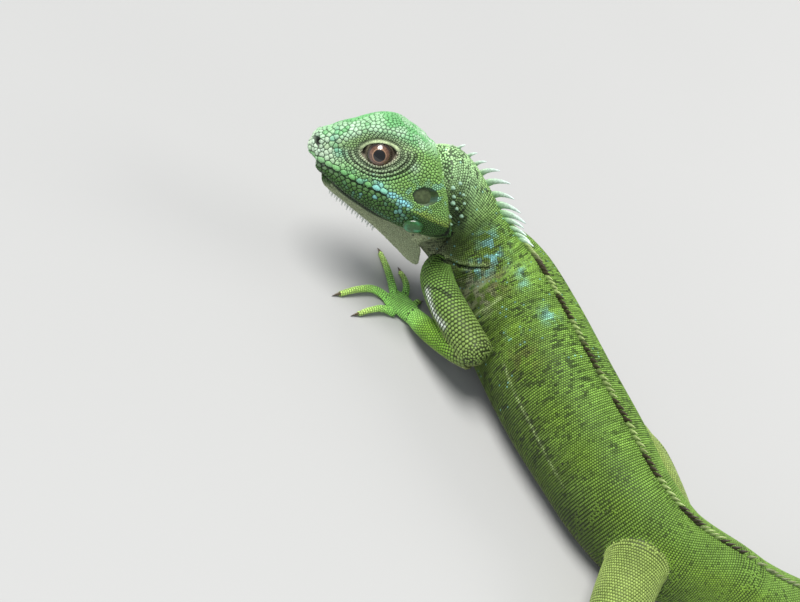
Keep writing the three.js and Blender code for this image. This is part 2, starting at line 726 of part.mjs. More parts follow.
const gularDown = new THREE.Vector3(-0.35, 0, -0.94);
const gularBack = new THREE.Vector3(0.94, 0, -0.35);
const gular = Array.from({ length: GULAR_SPINES }, (_, i) => {
  const [[x0, z0], [x1, z1]] = GULAR_EDGE;
  const t = i / (GULAR_SPINES - 1);
  const root = new THREE.Vector3(x0 + (x1 - x0) * t, 0, z0 + (z1 - z0) * t);
  return spine(root, gularDown, gularBack, GULAR_SPINE, GULAR_SPINE_LEAN);
});
const flap = joined([sideView(DEWLAP, DEWLAP_THICKNESS / 2, 0.6), ...gular]);
const dewlap = flap.subtract(headCutter).subtract(bodyCutter(intoHead));
head.add(meshOf("dewlap", dewlap, "dewlap"));

export default iguana;
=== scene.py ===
# A young green iguana, life size: skin, scales, eyes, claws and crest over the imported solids.
# Tables are in millimetres in the part's frame: +Z up, the trunk along -X, the left side at -Y.
import math
import bpy
import numpy as np
from mathutils import Matrix, Vector
from mathutils.bvhtree import BVHTree
from mathutils.kdtree import KDTree


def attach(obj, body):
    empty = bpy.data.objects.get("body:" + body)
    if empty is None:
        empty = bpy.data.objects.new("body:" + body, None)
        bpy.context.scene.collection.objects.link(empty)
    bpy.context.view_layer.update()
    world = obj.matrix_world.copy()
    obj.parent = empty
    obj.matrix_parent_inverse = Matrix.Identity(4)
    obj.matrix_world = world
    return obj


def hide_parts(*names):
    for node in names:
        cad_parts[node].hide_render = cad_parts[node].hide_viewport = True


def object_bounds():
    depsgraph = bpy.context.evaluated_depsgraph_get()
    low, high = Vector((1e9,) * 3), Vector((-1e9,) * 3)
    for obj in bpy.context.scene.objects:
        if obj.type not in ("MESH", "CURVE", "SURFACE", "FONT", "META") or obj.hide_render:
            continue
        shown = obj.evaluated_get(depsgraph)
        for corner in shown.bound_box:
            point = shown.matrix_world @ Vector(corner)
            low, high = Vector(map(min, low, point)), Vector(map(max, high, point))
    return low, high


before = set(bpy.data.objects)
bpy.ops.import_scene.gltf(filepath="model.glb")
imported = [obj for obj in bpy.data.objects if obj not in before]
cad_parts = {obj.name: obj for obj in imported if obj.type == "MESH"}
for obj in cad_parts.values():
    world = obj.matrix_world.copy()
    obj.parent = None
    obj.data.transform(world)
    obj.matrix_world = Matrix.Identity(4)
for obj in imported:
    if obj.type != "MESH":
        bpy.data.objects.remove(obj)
cad_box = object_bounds()
rng = np.random.default_rng(7)
MM = 0.001
INSIDE = [np.array(corner) / MM + shift for corner, shift in zip(cad_box, (0.02, -0.02))]
scene = bpy.context.scene


# ---------------------------------------------------------------- camera, light and floor
CAMERA_PLACE = (58.57, -313.4, 302.69)
CAMERA_RIGHT = (0.4857, 0.7544, 0.4416)
CAMERA_UP = (-0.7827, 0.1503, 0.604)
LENS = 57.87
SUN_STRENGTH, SUN_ANGLE, SUN_WAY, SKY_STRENGTH = 4.5, 0.6, (0.34, 0.38, -1.03), 0.42
FLOOR_HALF = 6  # metres

camera = bpy.data.objects.new("camera", bpy.data.cameras.new("camera"))
right, above = Vector(CAMERA_RIGHT).normalized(), Vector(CAMERA_UP)
backward = right.cross(above).normalized()
above = backward.cross(right)
turn = Matrix((right, above, backward)).transposed().to_4x4()
camera.matrix_world = Matrix.Translation(Vector(CAMERA_PLACE) * MM) @ turn
camera.data.lens = LENS
camera.data.sensor_width = 36
camera.data.clip_start = 0.01
camera.data.clip_end = 50
scene.collection.objects.link(camera)
scene.camera = camera


def area_light(name, place, target, size, power, colour):
    light = bpy.data.lights.new(name, "AREA")
    light.shape = "DISK"
    light.size = size
    light.energy = power
    light.color = colour
    thing = bpy.data.objects.new(name, light)
    thing.location = place
    aim = Vector(target) - Vector(place)
    thing.rotation_euler = aim.to_track_quat("-Z", "Y").to_euler()
    thing.visible_glossy = False
    scene.collection.objects.link(thing)


sun = bpy.data.lights.new("key", "SUN")
sun.energy, sun.angle, sun.color = SUN_STRENGTH, SUN_ANGLE, (1, 0.985, 0.95)
key = bpy.data.objects.new("key", sun)
key.rotation_euler = Vector(SUN_WAY).to_track_quat("-Z", "Y").to_euler()
scene.collection.objects.link(key)
AREA_LIGHTS = [  # name, place and target in metres, size, power and colour
    ("fill", (0.3, -0.95, 0.6), (-0.02, 0, 0.02), 0.9, 2.5, (0.93, 0.97, 1)),
    ("rim", (0.4, 0.8, 0.7), (0, 0, 0.02), 0.6, 4, (1, 0.98, 0.95)),
]
for values in AREA_LIGHTS:
    area_light(*values)
world = bpy.data.worlds.new("world")
world.use_nodes = True
world.node_tree.nodes["Background"].inputs["Color"].default_value = (0.78, 0.84, 0.9, 1)
world.node_tree.nodes["Background"].inputs["Strength"].default_value = SKY_STRENGTH
scene.world = world
scene.view_settings.view_transform = "Standard"
scene.view_settings.exposure = 0.0

# ---------------------------------------------------------------- shape tables
BODY = [  # x, y, z of the section's centre, half width, rise, drop
    (16, 15.5, 19.2, 10.6, 14.4, 14.4),
    (1, 1.5, 17.8, 13.8, 18.2, 18.4),
    (-16, -4, 18.6, 16.4, 19.4, 19.2),
    (-37, -3.6, 19.6, 18.8, 20.4, 20.2),
    (-59, -2.6, 20.3, 19.6, 21.2, 21),
    (-82, -0.2, 21.2, 19.6, 21.4, 20.9),
    (-102, 0.5, 23.6, 18.3, 20.2, 19.6),
    (-113.7, -2.5, 28, 15.1, 17.2, 18.4),
    (-121.9, -6.8, 33.8, 11.6, 13.6, 20.6),
    (-128.4, -12.3, 40, 11.2, 12.1, 22.8),
    (-132.3, -20.1, 44.5, 11.4, 14, 20.6),
    (-134.5, -27.5, 46.5, 11.2, 13.6, 16.6),
]
BODY_ROUNDNESS, NAPE_ROUNDNESS = 2.2, 1.5  # the second is of the nape's upper half
NAPE_KEEL = ((6.8, 8), (9.4, 10.4))  # rows where it comes and goes
TAIL_LENGTH, TAIL_STEP = 470, 10
TAIL_HEADINGS = [(0, 44), (25, 58), (95, 54), (200, 20), (330, -14), (470, -34)]
TAIL_HALF_WIDTH, TAIL_TIP, TAIL_TAPER, TAIL_HEIGHT_RATIO = 10.5, 0.6, 1.75, 1.36
TAIL_CLEARANCE, TAIL_TOUCHDOWN, TAIL_SINK = 5, 110, 0.25
HEAD_PLACE = np.array((-158.4, -57.4, 37.5))
HEAD_BACK = np.array((0.692, 0.721, 0.03))
HEAD_UP = np.array((-0.302, 0.252, 0.92))
HEAD = [  # x and z of the centre, half width, height above and below, backward lean
    (-1.1, 3.1, 2.8, 2.7, 2.6, 0),
    (0.8, 4.1, 4.9, 6, 6.3, 0),
    (4.2, 4.8, 6.1, 8.4, 9.2, 0),
    (9, 5.8, 7.6, 11.5, 12, 0),
    (14.5, 6.5, 9.3, 15.7, 14, 0),
    (20.5, 7, 10.9, 18, 15.3, 0.03),
    (27, 7, 12.4, 17.4, 15.7, 0.15),
    (34, 7, 13.5, 17, 15.2, 0.35),
    (40, 7.3, 14, 16.4, 14.2, 0.5),
    (44.5, 7.8, 13.3, 15, 12.6, 0.6),
]
DEWLAP = [  # side view in the head's frame
    (5, -3), (8, -7.2), (16, -9.4), (22, -11), (29.5, -13), (39.7, -16.6), (45, -18.6),
    (49.2, -18.8), (48.2, -14), (45.4, -10.5), (45, -2),
]
DEWLAP_RINGS = ((1, 0.12), (0.97, 0.5), (0.88, 0.72), (0.6, 0.95), (0.15, 1.0))  # reach, half thickness
LIMBS = {  # x, y, z and radius from the body outwards
    "upper_arm_left": [(-118, -10.5, 21.5, 5.4), (-115, -20, 20.6, 5.7), (-100.6, -24.8, 21.5, 6.3),
                       (-81.7, -25.6, 21.8, 5.9)],
    "upper_arm_right": [(-110, 8.6, 21.6, 6), (-107, 16.6, 18.6, 6.2), (-97, 24, 16, 5.6),
                        (-87.5, 28.5, 11.5, 4.9)],
    "forearm_left": [(-81.6, -25.6, 19, 5), (-88.6, -26.2, 15, 4.9), (-100, -26.4, 9.2, 4.1),
                     (-108.5, -25.6, 5.6, 3.3)],
    "forearm_right": [(-88, 29, 10.5, 4.5), (-93, 32, 8.6, 4.8), (-102, 34.5, 6.2, 4),
                      (-110, 35, 4.6, 3.2)],
    "thigh_left": [(-1, -7, 18.5, 9.4), (3, -14, 18.5, 10.2), (11, -26, 15.5, 9.2),
                   (20, -38, 11, 7)],
    "thigh_right": [(-3, 7, 17, 9), (-9, 14, 17, 8.8), (-24, 21, 16.4, 7.4), (-39.5, 25, 15, 5.9)],
    "shank_left": [(21.5, -38.5, 10.4, 5.8), (30, -41, 9.6, 6.4), (43, -40.5, 7.2, 5),
                   (56, -38.5, 4.8, 3.5)],
    "shank_right": [(-38.5, 27, 14, 5.1), (-30, 29.6, 12.6, 5.6), (-17.5, 32, 9.4, 4.5),
                    (-5, 33.2, 5.6, 3.5)],
}
HAND = {"left": (-115, -24, 15), "right": (-116.5, 35.2, -5), "size": (13, 11, 5.6)}
FOOT = {"left": (55.5, -47.5, 74), "right": (-14.5, 35, 0), "size": (24, 10, 6)}
FINGERS = [(-0.1, -0.38, -78, -92, 5, 1.4), (0.26, -0.44, -52, -34, 12, 1.5),
           (0.42, -0.12, -29, -33, 20, 1.6), (0.38, 0.18, 28, 72, 20.5, 1.7),
           (0.02, 0.44, 50, 73, 14.5, 1.55)]
TOES = [(-0.05, -0.42, -38, -22, 10, 1.5), (0.25, -0.34, -18, -30, 17, 1.7),
        (0.42, -0.1, -6, -14, 26, 1.9), (0.4, 0.18, 6, -2, 36, 2),
        (-0.15, 0.34, 22, 34, 16, 1.7)]
CLAW_LENGTH, DIGIT_RISE, DIGIT_TAPER = 3.6, 1.4, 0.62
COAT = 0.34  # depth of the scales over the skin


# ---------------------------------------------------------------- geometry helpers
def unit(v):
    return v / np.maximum(np.linalg.norm(v, axis=-1, keepdims=True), 1e-12)


def smoothstep(x, low, high):
    t = np.clip((np.asarray(x, float) - low) / (high - low), 0, 1)
    return t * t * (3 - 2 * t)


def window(x, low, in_by, out_from, high):
    """Rises from 0 to 1 and falls again."""
    return smoothstep(x, low, in_by) * (1 - smoothstep(x, out_from, high))


def spline(rows, u):
    """Rows run through by a Catmull-Rom curve, read at places from 0 to 1."""
    ends = np.vstack([2 * rows[0] - rows[1], rows, 2 * rows[-1] - rows[-2]])
    x = np.clip(np.asarray(u, float), 0, 1) * (len(rows) - 1)
    i = np.minimum(x.astype(int), len(rows) - 2)
    t = (x - i)[..., None]
    p0, p1, p2, p3 = ends[i], ends[i + 1], ends[i + 2], ends[i + 3]
    m1, m2 = (p2 - p0) / 2, (p3 - p1) / 2
    return (2 * p1 - 2 * p2 + m1 + m2) * t**3 + (3 * p2 - 3 * p1 - 2 * m1 - m2) * t**2 + m1 * t + p1


head_across = unit(np.cross(HEAD_UP, HEAD_BACK))
head_back = unit(HEAD_BACK)
head_up = np.cross(head_back, head_across)
HEAD_AXES = np.array([head_back, head_across, head_up])


def to_head(points):
    return (points - HEAD_PLACE) @ HEAD_AXES.T


def from_head(points):
    return np.asarray(points, float) @ HEAD_AXES + HEAD_PLACE


def ring_quads(rings, sides):
    """Quads between rings of points that follow each other."""
    i, j = np.meshgrid(np.arange(rings - 1), np.arange(sides), indexing="ij")
    a, b = i * sides + j, i * sides + (j + 1) % sides
    return np.stack([a, b, b + sides, a + sides], -1).reshape(-1, 4)


def ring_triangles(rings, sides):
    """The same as triangles, in a list."""
    faces = []
    for a, b, c, d in ring_quads(rings, sides).tolist():
        faces += [(a, b, c), (a, c, d)]
    return faces


class Tube:
    """A body swept along rows of x, y, z, half width, rise, drop and backward lean."""

    def __init__(self, name, rows, roundness=2.0, up=None, head=False, domes=(0, 0), keel=None):
        rows = np.array(rows, float)
        if rows.shape[1] == 4:
            rows = np.hstack([rows, rows[:, 3:], rows[:, 3:]])
        if rows.shape[1] == 6:
            rows = np.hstack([rows, np.zeros((len(rows), 1))])
        self.name, self.rows, self.roundness = name, rows, roundness
        self.up, self.head, self.domes, self.keel = up, head, domes, keel
        self.us = np.linspace(0, 1, 30 * len(rows))
        points = spline(rows[:, :3], self.us)
        steps = np.linalg.norm(np.diff(points, axis=0), axis=1)
        self.arc = np.concatenate([[0], np.cumsum(steps)])
        self.length = self.arc[-1]

    def at(self, distance):
        return np.interp(distance, self.arc, self.us)

    def frame(self, u):
        u = np.asarray(u, float)
        centre = spline(self.rows[:, :3], u)
        ahead = spline(self.rows[:, :3], np.minimum(u + 1e-3, 1))
        behind = spline(self.rows[:, :3], np.maximum(u - 1e-3, 0))
        along = unit(ahead - behind)
        up = np.broadcast_to((0.0, 0.0, 1.0), along.shape) if self.up is None else self.up(u)
        across = unit(np.cross(up, along))
        return centre, along, across, np.cross(along, across)

    def surface(self, u, angle, grow=0.0, shift=0.0, scale=1.0):
        centre, along, across, rise = self.frame(u)
        w, a, b, lean = np.moveaxis(spline(self.rows[:, 3:], u), -1, 0)
        c, s = np.cos(angle), np.sin(angle)
        power = 2 / self.roundness
        if self.keel is not None:
            power = np.where(s > 0, 2 / self.keel(u), power)
        x = np.sign(c) * np.abs(c) ** power * (w + grow) * scale
        z = np.sign(s) * np.abs(s) ** power * (np.where(s > 0, a, b) + grow) * scale
        p = centre + x[..., None] * across + z[..., None] * rise
        p = p + (shift - lean * z)[..., None] * along
        return from_head(p) if self.head else p

    def mesh(self, step=1.0, sides=40, grow=0.0, start=0.0, end=1.0):
        """Points, faces, the two end faces, and the place and angle of each point."""
        first = np.interp(start, self.us, self.arc)
        last = np.interp(end, self.us, self.arc)
        count = max(4, int((last - first) / step))
        us = self.at(np.linspace(first, last, count + 1))
        scales = np.array([0.995, 0.97, 0.9, 0.75, 0.5, 0.2])
        rings = [(u, 0.0, 1.0) for u in us]
        if self.domes[0]:
            bulge = -(self.domes[0] + grow) * np.sqrt(1 - scales**2)
            rings = [(us[0], b, s) for b, s in zip(bulge, scales)][::-1] + rings
        if self.domes[1]:
            bulge = (self.domes[1] + grow) * np.sqrt(1 - scales**2)
            rings += [(us[-1], b, s) for b, s in zip(bulge, scales)]
        u, shift, scale = (np.array(v)[:, None] for v in zip(*rings))
        angle = np.linspace(0, 2 * np.pi, sides, endpoint=False)[None, :]
        u, angle = np.broadcast_arrays(u, angle)
        points = self.surface(u, angle, grow, shift, scale)
        n = len(rings)
        ends = [list(range(sides))[::-1], list(range((n - 1) * sides, n * sides))]
        return points.reshape(-1, 3), ring_quads(n, sides), ends, u.ravel(), angle.ravel()


def mesh_object(name, points, faces):
    """A mesh in metres from points in millimetres and faces of one or several sizes."""
    mesh = bpy.data.meshes.new(name)
    mesh.from_pydata((np.asarray(points) * MM).tolist(), [], [list(map(int, f)) for f in faces])
    mesh.update()
    thing = bpy.data.objects.new(name, mesh)
    scene.collection.objects.link(thing)
    return thing


def even_mesh(name, points, faces):
    """The same, built quickly from arrays where every face has the same count of corners."""
    points = np.ascontiguousarray(points, dtype=np.float32) * np.float32(MM)
    faces = np.ascontiguousarray(faces, dtype=np.int32)
    mesh = bpy.data.meshes.new(name)
    corners = faces.shape[1]
    mesh.vertices.add(len(points))
    mesh.vertices.foreach_set("co", points.ravel())
    mesh.loops.add(faces.size)
    mesh.loops.foreach_set("vertex_index", faces.ravel())
    mesh.polygons.add(len(faces))
    mesh.polygons.foreach_set("loop_start", np.arange(0, faces.size, corners, dtype=np.int32))
    mesh.update(calc_edges=True)
    thing = bpy.data.objects.new(name, mesh)
    scene.collection.objects.link(thing)
    return thing


def read_mesh(mesh):
    points = np.empty(len(mesh.vertices) * 3, np.float32)
    mesh.vertices.foreach_get("co", points)
    return points.reshape(-1, 3).astype(float) / MM


def applied(thing):
    """Applies the object's modifiers to its mesh."""
    evaluated = thing.evaluated_get(bpy.context.evaluated_depsgraph_get())
    mesh = bpy.data.meshes.new_from_object(evaluated)
    thing.modifiers.clear()
    old, thing.data = thing.data, mesh
    bpy.data.meshes.remove(old)


# ---------------------------------------------------------------- body parts as tubes
def tail_rows():
    rows = []
    x, y = BODY[0][:2]
    for distance in range(TAIL_STEP, TAIL_LENGTH + 1, TAIL_STEP):
        d = distance - TAIL_STEP / 2
        i = 0
        while i < len(TAIL_HEADINGS) - 2 and d > TAIL_HEADINGS[i + 1][0]:
            i += 1
        (d0, h0), (d1, h1) = TAIL_HEADINGS[i], TAIL_HEADINGS[i + 1]
        heading = math.radians(h0 + (h1 - h0) * float(smoothstep(d, d0, d1)))
        x += TAIL_STEP * math.cos(heading)
        y += TAIL_STEP * math.sin(heading)
        taper = (1 - distance / TAIL_LENGTH) ** TAIL_TAPER
        half = TAIL_TIP + (TAIL_HALF_WIDTH - TAIL_TIP) * taper
        rise = half * (1 + (TAIL_HEIGHT_RATIO - 1) * taper)
        lift = max(0, 1 - distance / TAIL_TOUCHDOWN)
        clear = TAIL_CLEARANCE * lift * lift - TAIL_SINK * (1 - lift)
        rows.insert(0, (x, y, rise + clear, half, rise, rise))
    return rows


TAIL = tail_rows()
SPINE_ROWS = TAIL + BODY


def at_row(row):
    """Place along the spine of a row of BODY, counted from the tail root."""
    return (len(TAIL) + row) / (len(SPINE_ROWS) - 1)


def spine_up(u):
    turned = smoothstep(u, at_row(7.4), 1)[..., None]
    return unit(np.array((0.0, 0.0, 1.0)) * (1 - turned) + head_up * turned)


def spine_keel(u):
    (a, b), (c, d) = NAPE_KEEL
    keel = smoothstep(u, at_row(a), at_row(b)) * (1 - smoothstep(u, at_row(c), at_row(d)))
    return BODY_ROUNDNESS + (NAPE_ROUNDNESS - BODY_ROUNDNESS) * keel


spine = Tube("spine", SPINE_ROWS, BODY_ROUNDNESS, spine_up, domes=(1.5, 2), keel=spine_keel)
head_tube = Tube("head", [(x, 0, z, w, a, b, lean) for x, z, w, a, b, lean in HEAD], 2.8,
                 head=True, domes=(1.4, 2))
tubes = [spine, head_tube]
for name, rows in LIMBS.items():
    tubes.append(Tube(name, rows, domes=(0, 0.8 * rows[-1][3])))

claws = []  # root, direction and radius of each claw


def headed(degrees, side):
    angle = math.radians(degrees)
    return np.array((-math.cos(angle), side * math.sin(angle), 0.0))


def digit_rows(root, heading, side, row):
    _, _, turn0, turn1, length, radius = row
    joints = 4 if length > 30 else 3
    tip = DIGIT_TAPER * radius
    spot = root.copy()
    rows = []
    for i in range(joints + 1):
        turn = float(smoothstep((i - 0.5) / joints, 0.25, 0.6))
        if i:
            spot = spot + headed(heading + turn0 + (turn1 - turn0) * turn, side) * length / joints
        r = radius + (tip - radius) * i / joints
        arch = DIGIT_RISE * math.sin(math.pi * i / joints) ** 1.5 if 0 < i < joints else 0
        rows.append((spot[0], spot[1], 0.86 * r + arch, r))
    claws.append((spot, headed(heading + turn1, side), tip))
    return rows


for kind, places, digits in (("hand", HAND, FINGERS), ("foot", FOOT, TOES)):
    length, width, height = places["size"]
    for side_name, side in (("left", -1), ("right", 1)):
        x, y, heading = places[side_name]
        ahead, outward = headed(heading, side), headed(heading + 90, side)
        sole = np.array((x, y, 0.0))
        rows = []
        for reach, broad, tall in ((-0.5, 0.34, 1), (-0.1, 0.44, 0.9), (0.3, 0.5, 0.66),
                                   (0.5, 0.42, 0.5)):
            spot, thick = sole + ahead * reach * length, tall * height / 2
            rows.append((spot[0], spot[1], 0.93 * thick, broad * width, thick, thick))
        tubes.append(Tube(f"{kind}_{side_name}", rows, domes=(1.5, 1.2)))
        for i, row in enumerate(digits):
            root = sole + ahead * row[0] * length + outward * row[1] * width
            rows = digit_rows(root, heading, side, row)
            tubes.append(Tube(f"digit_{kind}_{side_name}_{i}", rows, domes=(0, 0.8)))

# ---------------------------------------------------------------- skin
def skin_pieces():
    """Points and faces of every tube inset by the coat, and each face's tube, place and angle."""
    everything, faces, extra, origin, origin_extra, count = [], [], [], [], [], 0
    for k, tube in enumerate(tubes):
        small = tube.name.startswith("digit")
        step, sides = (0.5, 14) if small else (0.9, 28)
        if tube.name in ("spine", "head"):
            step, sides = 0.9, 96
        inset = 0.2 if small else COAT
        points, quads, ends, place, angle = tube.mesh(step, sides, -inset)
        everything.append(points)
        faces += (quads + count).tolist()
        first = quads[:, 0]
        origin.append(np.stack([np.full(len(quads), k), place[first], angle[first]], 1))
        extra += [[i + count for i in end] for end in ends]
        origin_extra += [(k, place[end[0]], 0.0) for end in ends]
        count += len(points)
    return np.vstack(everything), faces + extra, np.vstack(origin + [np.array(origin_extra)])


def dewlap_mesh():
    """The throat flap, thin at its edge and thick at its root, in the head's frame."""
    outline = np.array(DEWLAP, float)
    dense = spline(outline, np.linspace(0, 1, 60))
    middle = np.array((28, -4.5))
    rings = [(middle + (dense - middle) * share, half) for share, half in DEWLAP_RINGS]
    layers = rings[::-1] + [(ring, -half) for ring, half in rings]
    points = [(x, half, z) for ring, half in layers for x, z in ring]
    n = len(dense)
    faces = ring_quads(len(layers), n).tolist()
    faces.append(list(range(n))[::-1])
    faces.append(list(range((len(layers) - 1) * n, len(layers) * n)))
    return from_head(np.array(points)), faces


def line_distance(points, line):
    """Distance to a polyline, and how far along it from 0 to 1."""
    line = np.array(line, float)
    best = np.full(len(points), 1e9)
    along = np.zeros(len(points))
    reached = 0.0
    for a, b in zip(line[:-1], line[1:]):
        d = b - a
        length = np.linalg.norm(d)
        t = np.clip(((points - a) @ d) / length**2, 0, 1)
        gap = np.linalg.norm(points - (a + t[:, None] * d), axis=1)
        closer = gap < best
        best = np.where(closer, gap, best)
        along = np.where(closer, reached + t * length, along)
        reached += length
    return best, along / reached


def line_gap(points, line):
    return line_distance(points, line)[0]


def bump(distance, radius):
    return np.exp(-((distance / radius) ** 2))


LEFT_FROM = -8  # the folds of the left shoulder lie beyond this y
SIDE_VIEW = (1, 0.35, 1)  # how much each axis counts for the distance to a fold


def side_gap(places, line):
    """Distance to a line where the way across the body counts for less, as for a deep fold."""
    return line_gap(places * SIDE_VIEW, np.array(line) * SIDE_VIEW)


def crease_gap(places):
    """Distance to the crease behind the jowls, as seen from the side."""
    h = to_head(places)
    h[:, 1] = np.abs(h[:, 1])
    return side_gap(h, CREASE)


# Places on the left of the head, as x back, y outwards and z up in the head's frame.
EYE_BALL, EYE_RADIUS = np.array((19.6, 6, 12.2)), 5.2
EYE_GAZE = unit(np.array((-0.115, 1, 0.09)))
LIDS = {"x": 18.95, "z": 12.75, "tilt": 0.463, "half_length": 5.8, "half_height": 3.6}
LID_POWER = 1.75  # of the lid opening, whose edge is at 1: 2 is an oval, less has pointed ends
LID_RING, LID_FOLD = 1.12, 0.36  # first fold of the lids and the space between folds, the same way
BROW = [(6.3, 6, 12.1), (8.8, 6.4, 14.4), (13.4, 6.9, 18.9), (17.7, 7.9, 20.4), (22.5, 8.1, 21.6),
        (26.6, 7.4, 22)]
CROWN_X = (-3, 2, 6, 13, 22, 30, 44)
CROWN_Z = (9, 10.5, 13, 19, 21.5, 22, 21)  # height where the crown's colour starts
TOP_PLATES_Z = (7, 8, 12, 18, 20.5, 21, 19)  # height where the even plates start
CANTHUS = [(1.5, 4.2, 8.6), (6.3, 6, 12.1)]
NOSTRIL, NOSTRIL_HALF = np.array((-0.1, 4.2, 6.2)), (1.6, 0.85)
NOSTRIL_TURN = (0.55, 0.83)  # cosine and sine of its slant
MOUTH_X, MOUTH_Z = (-3, 2, 10, 17, 21, 25, 28), (0.1, 0.2, 0.5, 0.7, 1.3, 1.7, 1.8)
JAW_EDGE = [(4.8, 4, -2.7), (7.3, 3.6, -4.2), (10.5, 4.3, -4.8), (13.6, 5.4, -5.3), (17.2, 6, -5.9),
            (21.1, 6.8, -6.3), (24.7, 7.4, -6.6), (28.5, 7.4, -7), (32.5, 7.4, -7.4), (37.5, 7.6, -7.8)]
TYMPANUM = {"x": 38.1, "z": 7.8, "tilt": 0.42, "half_length": 3.85, "half_height": 3.05}
JOWL = [(42.1, 10, 17), (44.7, 10.5, 12), (46.7, 10, 7), (49.2, 9.6, 1.5), (49.6, 9.8, -2.3),
        (46.1, 9.9, -4.7), (41.1, 9.5, -6.9)]
CREASE = np.array(JOWL) + (1.2, 0.2, 0.1)
SHIELD, SHIELD_SIZE = np.array((39.5, 12.3, -3.7)), (3.4, 2.6)  # half length and half height
# Folds on the left of the neck and shoulder, in the part's frame.
THROAT_FOLD = [(-120.1, -19.3, 36.5), (-120, -19.1, 29.7), (-120.9, -19, 22.2)]
ARM_FOLD = [(-120.9, -19, 22.2), (-116.1, -18.7, 26), (-111.9, -16.5, 27.7), (-108.2, -15.7, 31.1),
            (-104, -13.4, 35.8)]
ELBOW_FOLD = [(-109.7, -28.4, 21.6), (-105, -28, 25.8), (-101.1, -26.7, 26.9)]
FOLDS = [
    (THROAT_FOLD, 1.0, 0.7),
    (ARM_FOLD, 1.3, 0.7),
    (ELBOW_FOLD, 0.6, 0.6),
    ([(-112, -19, 26), (-106, -19.2, 29), (-101, -17.6, 33)], 0.5, 0.6),
    ([(-108, -20.6, 22), (-100, -20.6, 27), (-94, -19, 31)], 0.45, 0.8),
    ([(-101, -21, 17), (-92, -21.5, 22), (-86, -20.8, 26)], 0.4, 0.8),
    ([(-93, -19, 21), (-91.6, -18.3, 27), (-90.4, -17.2, 32)], 0.45, 0.6),
]
# Where limbs meet the body: a spot, its radius, and how many times the skin is relaxed.
JOINTS = [
    ((-116, -18, 24), 8, 26), ((-108, 13, 22), 9, 40), ((-82, -25.6, 20), 7, 10),
    ((-87, 28, 11), 7, 20), ((2, -12, 18), 13, 60), ((-4, 12, 17), 12, 50),
    ((20.5, -38, 11), 8, 20), ((-39, 26, 14.5), 8, 20), ((-132, -30, 36), 9, 12),
]


def lid_place(x, z, shape, power=2.0):
    """Place in a tilted oval: 1 on its edge. Also the two distances along its axes."""
    c, s = math.cos(shape["tilt"]), math.sin(shape["tilt"])
    a = (x - shape["x"]) * c + (z - shape["z"]) * s
    b = -(x - shape["x"]) * s + (z - shape["z"]) * c
    r = (np.abs(a / shape["half_length"]) ** power + np.abs(b / shape["half_height"]) ** power)
    return r ** (1 / power), a, b


def on_oval(shape, a, b):
    """The x and z of a place given along the axes of a tilted oval."""
    c, s = math.cos(shape["tilt"]), math.sin(shape["tilt"])
    return shape["x"] + a * c - b * s, shape["z"] + a * s + b * c


def jaw_height(x, z):
    """Height over the lower edge of the jaw."""
    return z - np.interp(x, *np.array(JAW_EDGE)[:, ::2].T)


def nostril_place(h):
    """Place in the tall slanting oval of the nostril: 1 on its rim."""
    x, z = h[:, 0] - NOSTRIL[0], h[:, 2] - NOSTRIL[2]
    c, s = NOSTRIL_TURN
    far = 4 * smoothstep(h[:, 0], 5, 7) + 4 * (np.abs(h[:, 1]) < 2)
    return np.hypot((c * x - s * z) / NOSTRIL_HALF[0], (s * x + c * z) / NOSTRIL_HALF[1]) + far


def normals_of(points, quads):
    a, b, c, d = (points[quads[:, k]] for k in range(4))
    face = np.cross(c - a, d - b)
    normal = np.zeros_like(points)
    for k in range(4):
        for axis in range(3):
            normal[:, axis] += np.bincount(quads[:, k], face[:, axis], len(points))
    return unit(normal)


def relax(points, edges, amount):
    """Moves each point towards the middle of its neighbours."""
    a, b = edges[:, 0], edges[:, 1]
    total = np.zeros_like(points)
    count = np.bincount(a, minlength=len(points)) + np.bincount(b, minlength=len(points))
    for axis in range(3):
        total[:, axis] = np.bincount(a, points[b, axis], len(points))
        total[:, axis] += np.bincount(b, points[a, axis], len(points))
    return points + (total / count[:, None] - points) * amount[:, None]


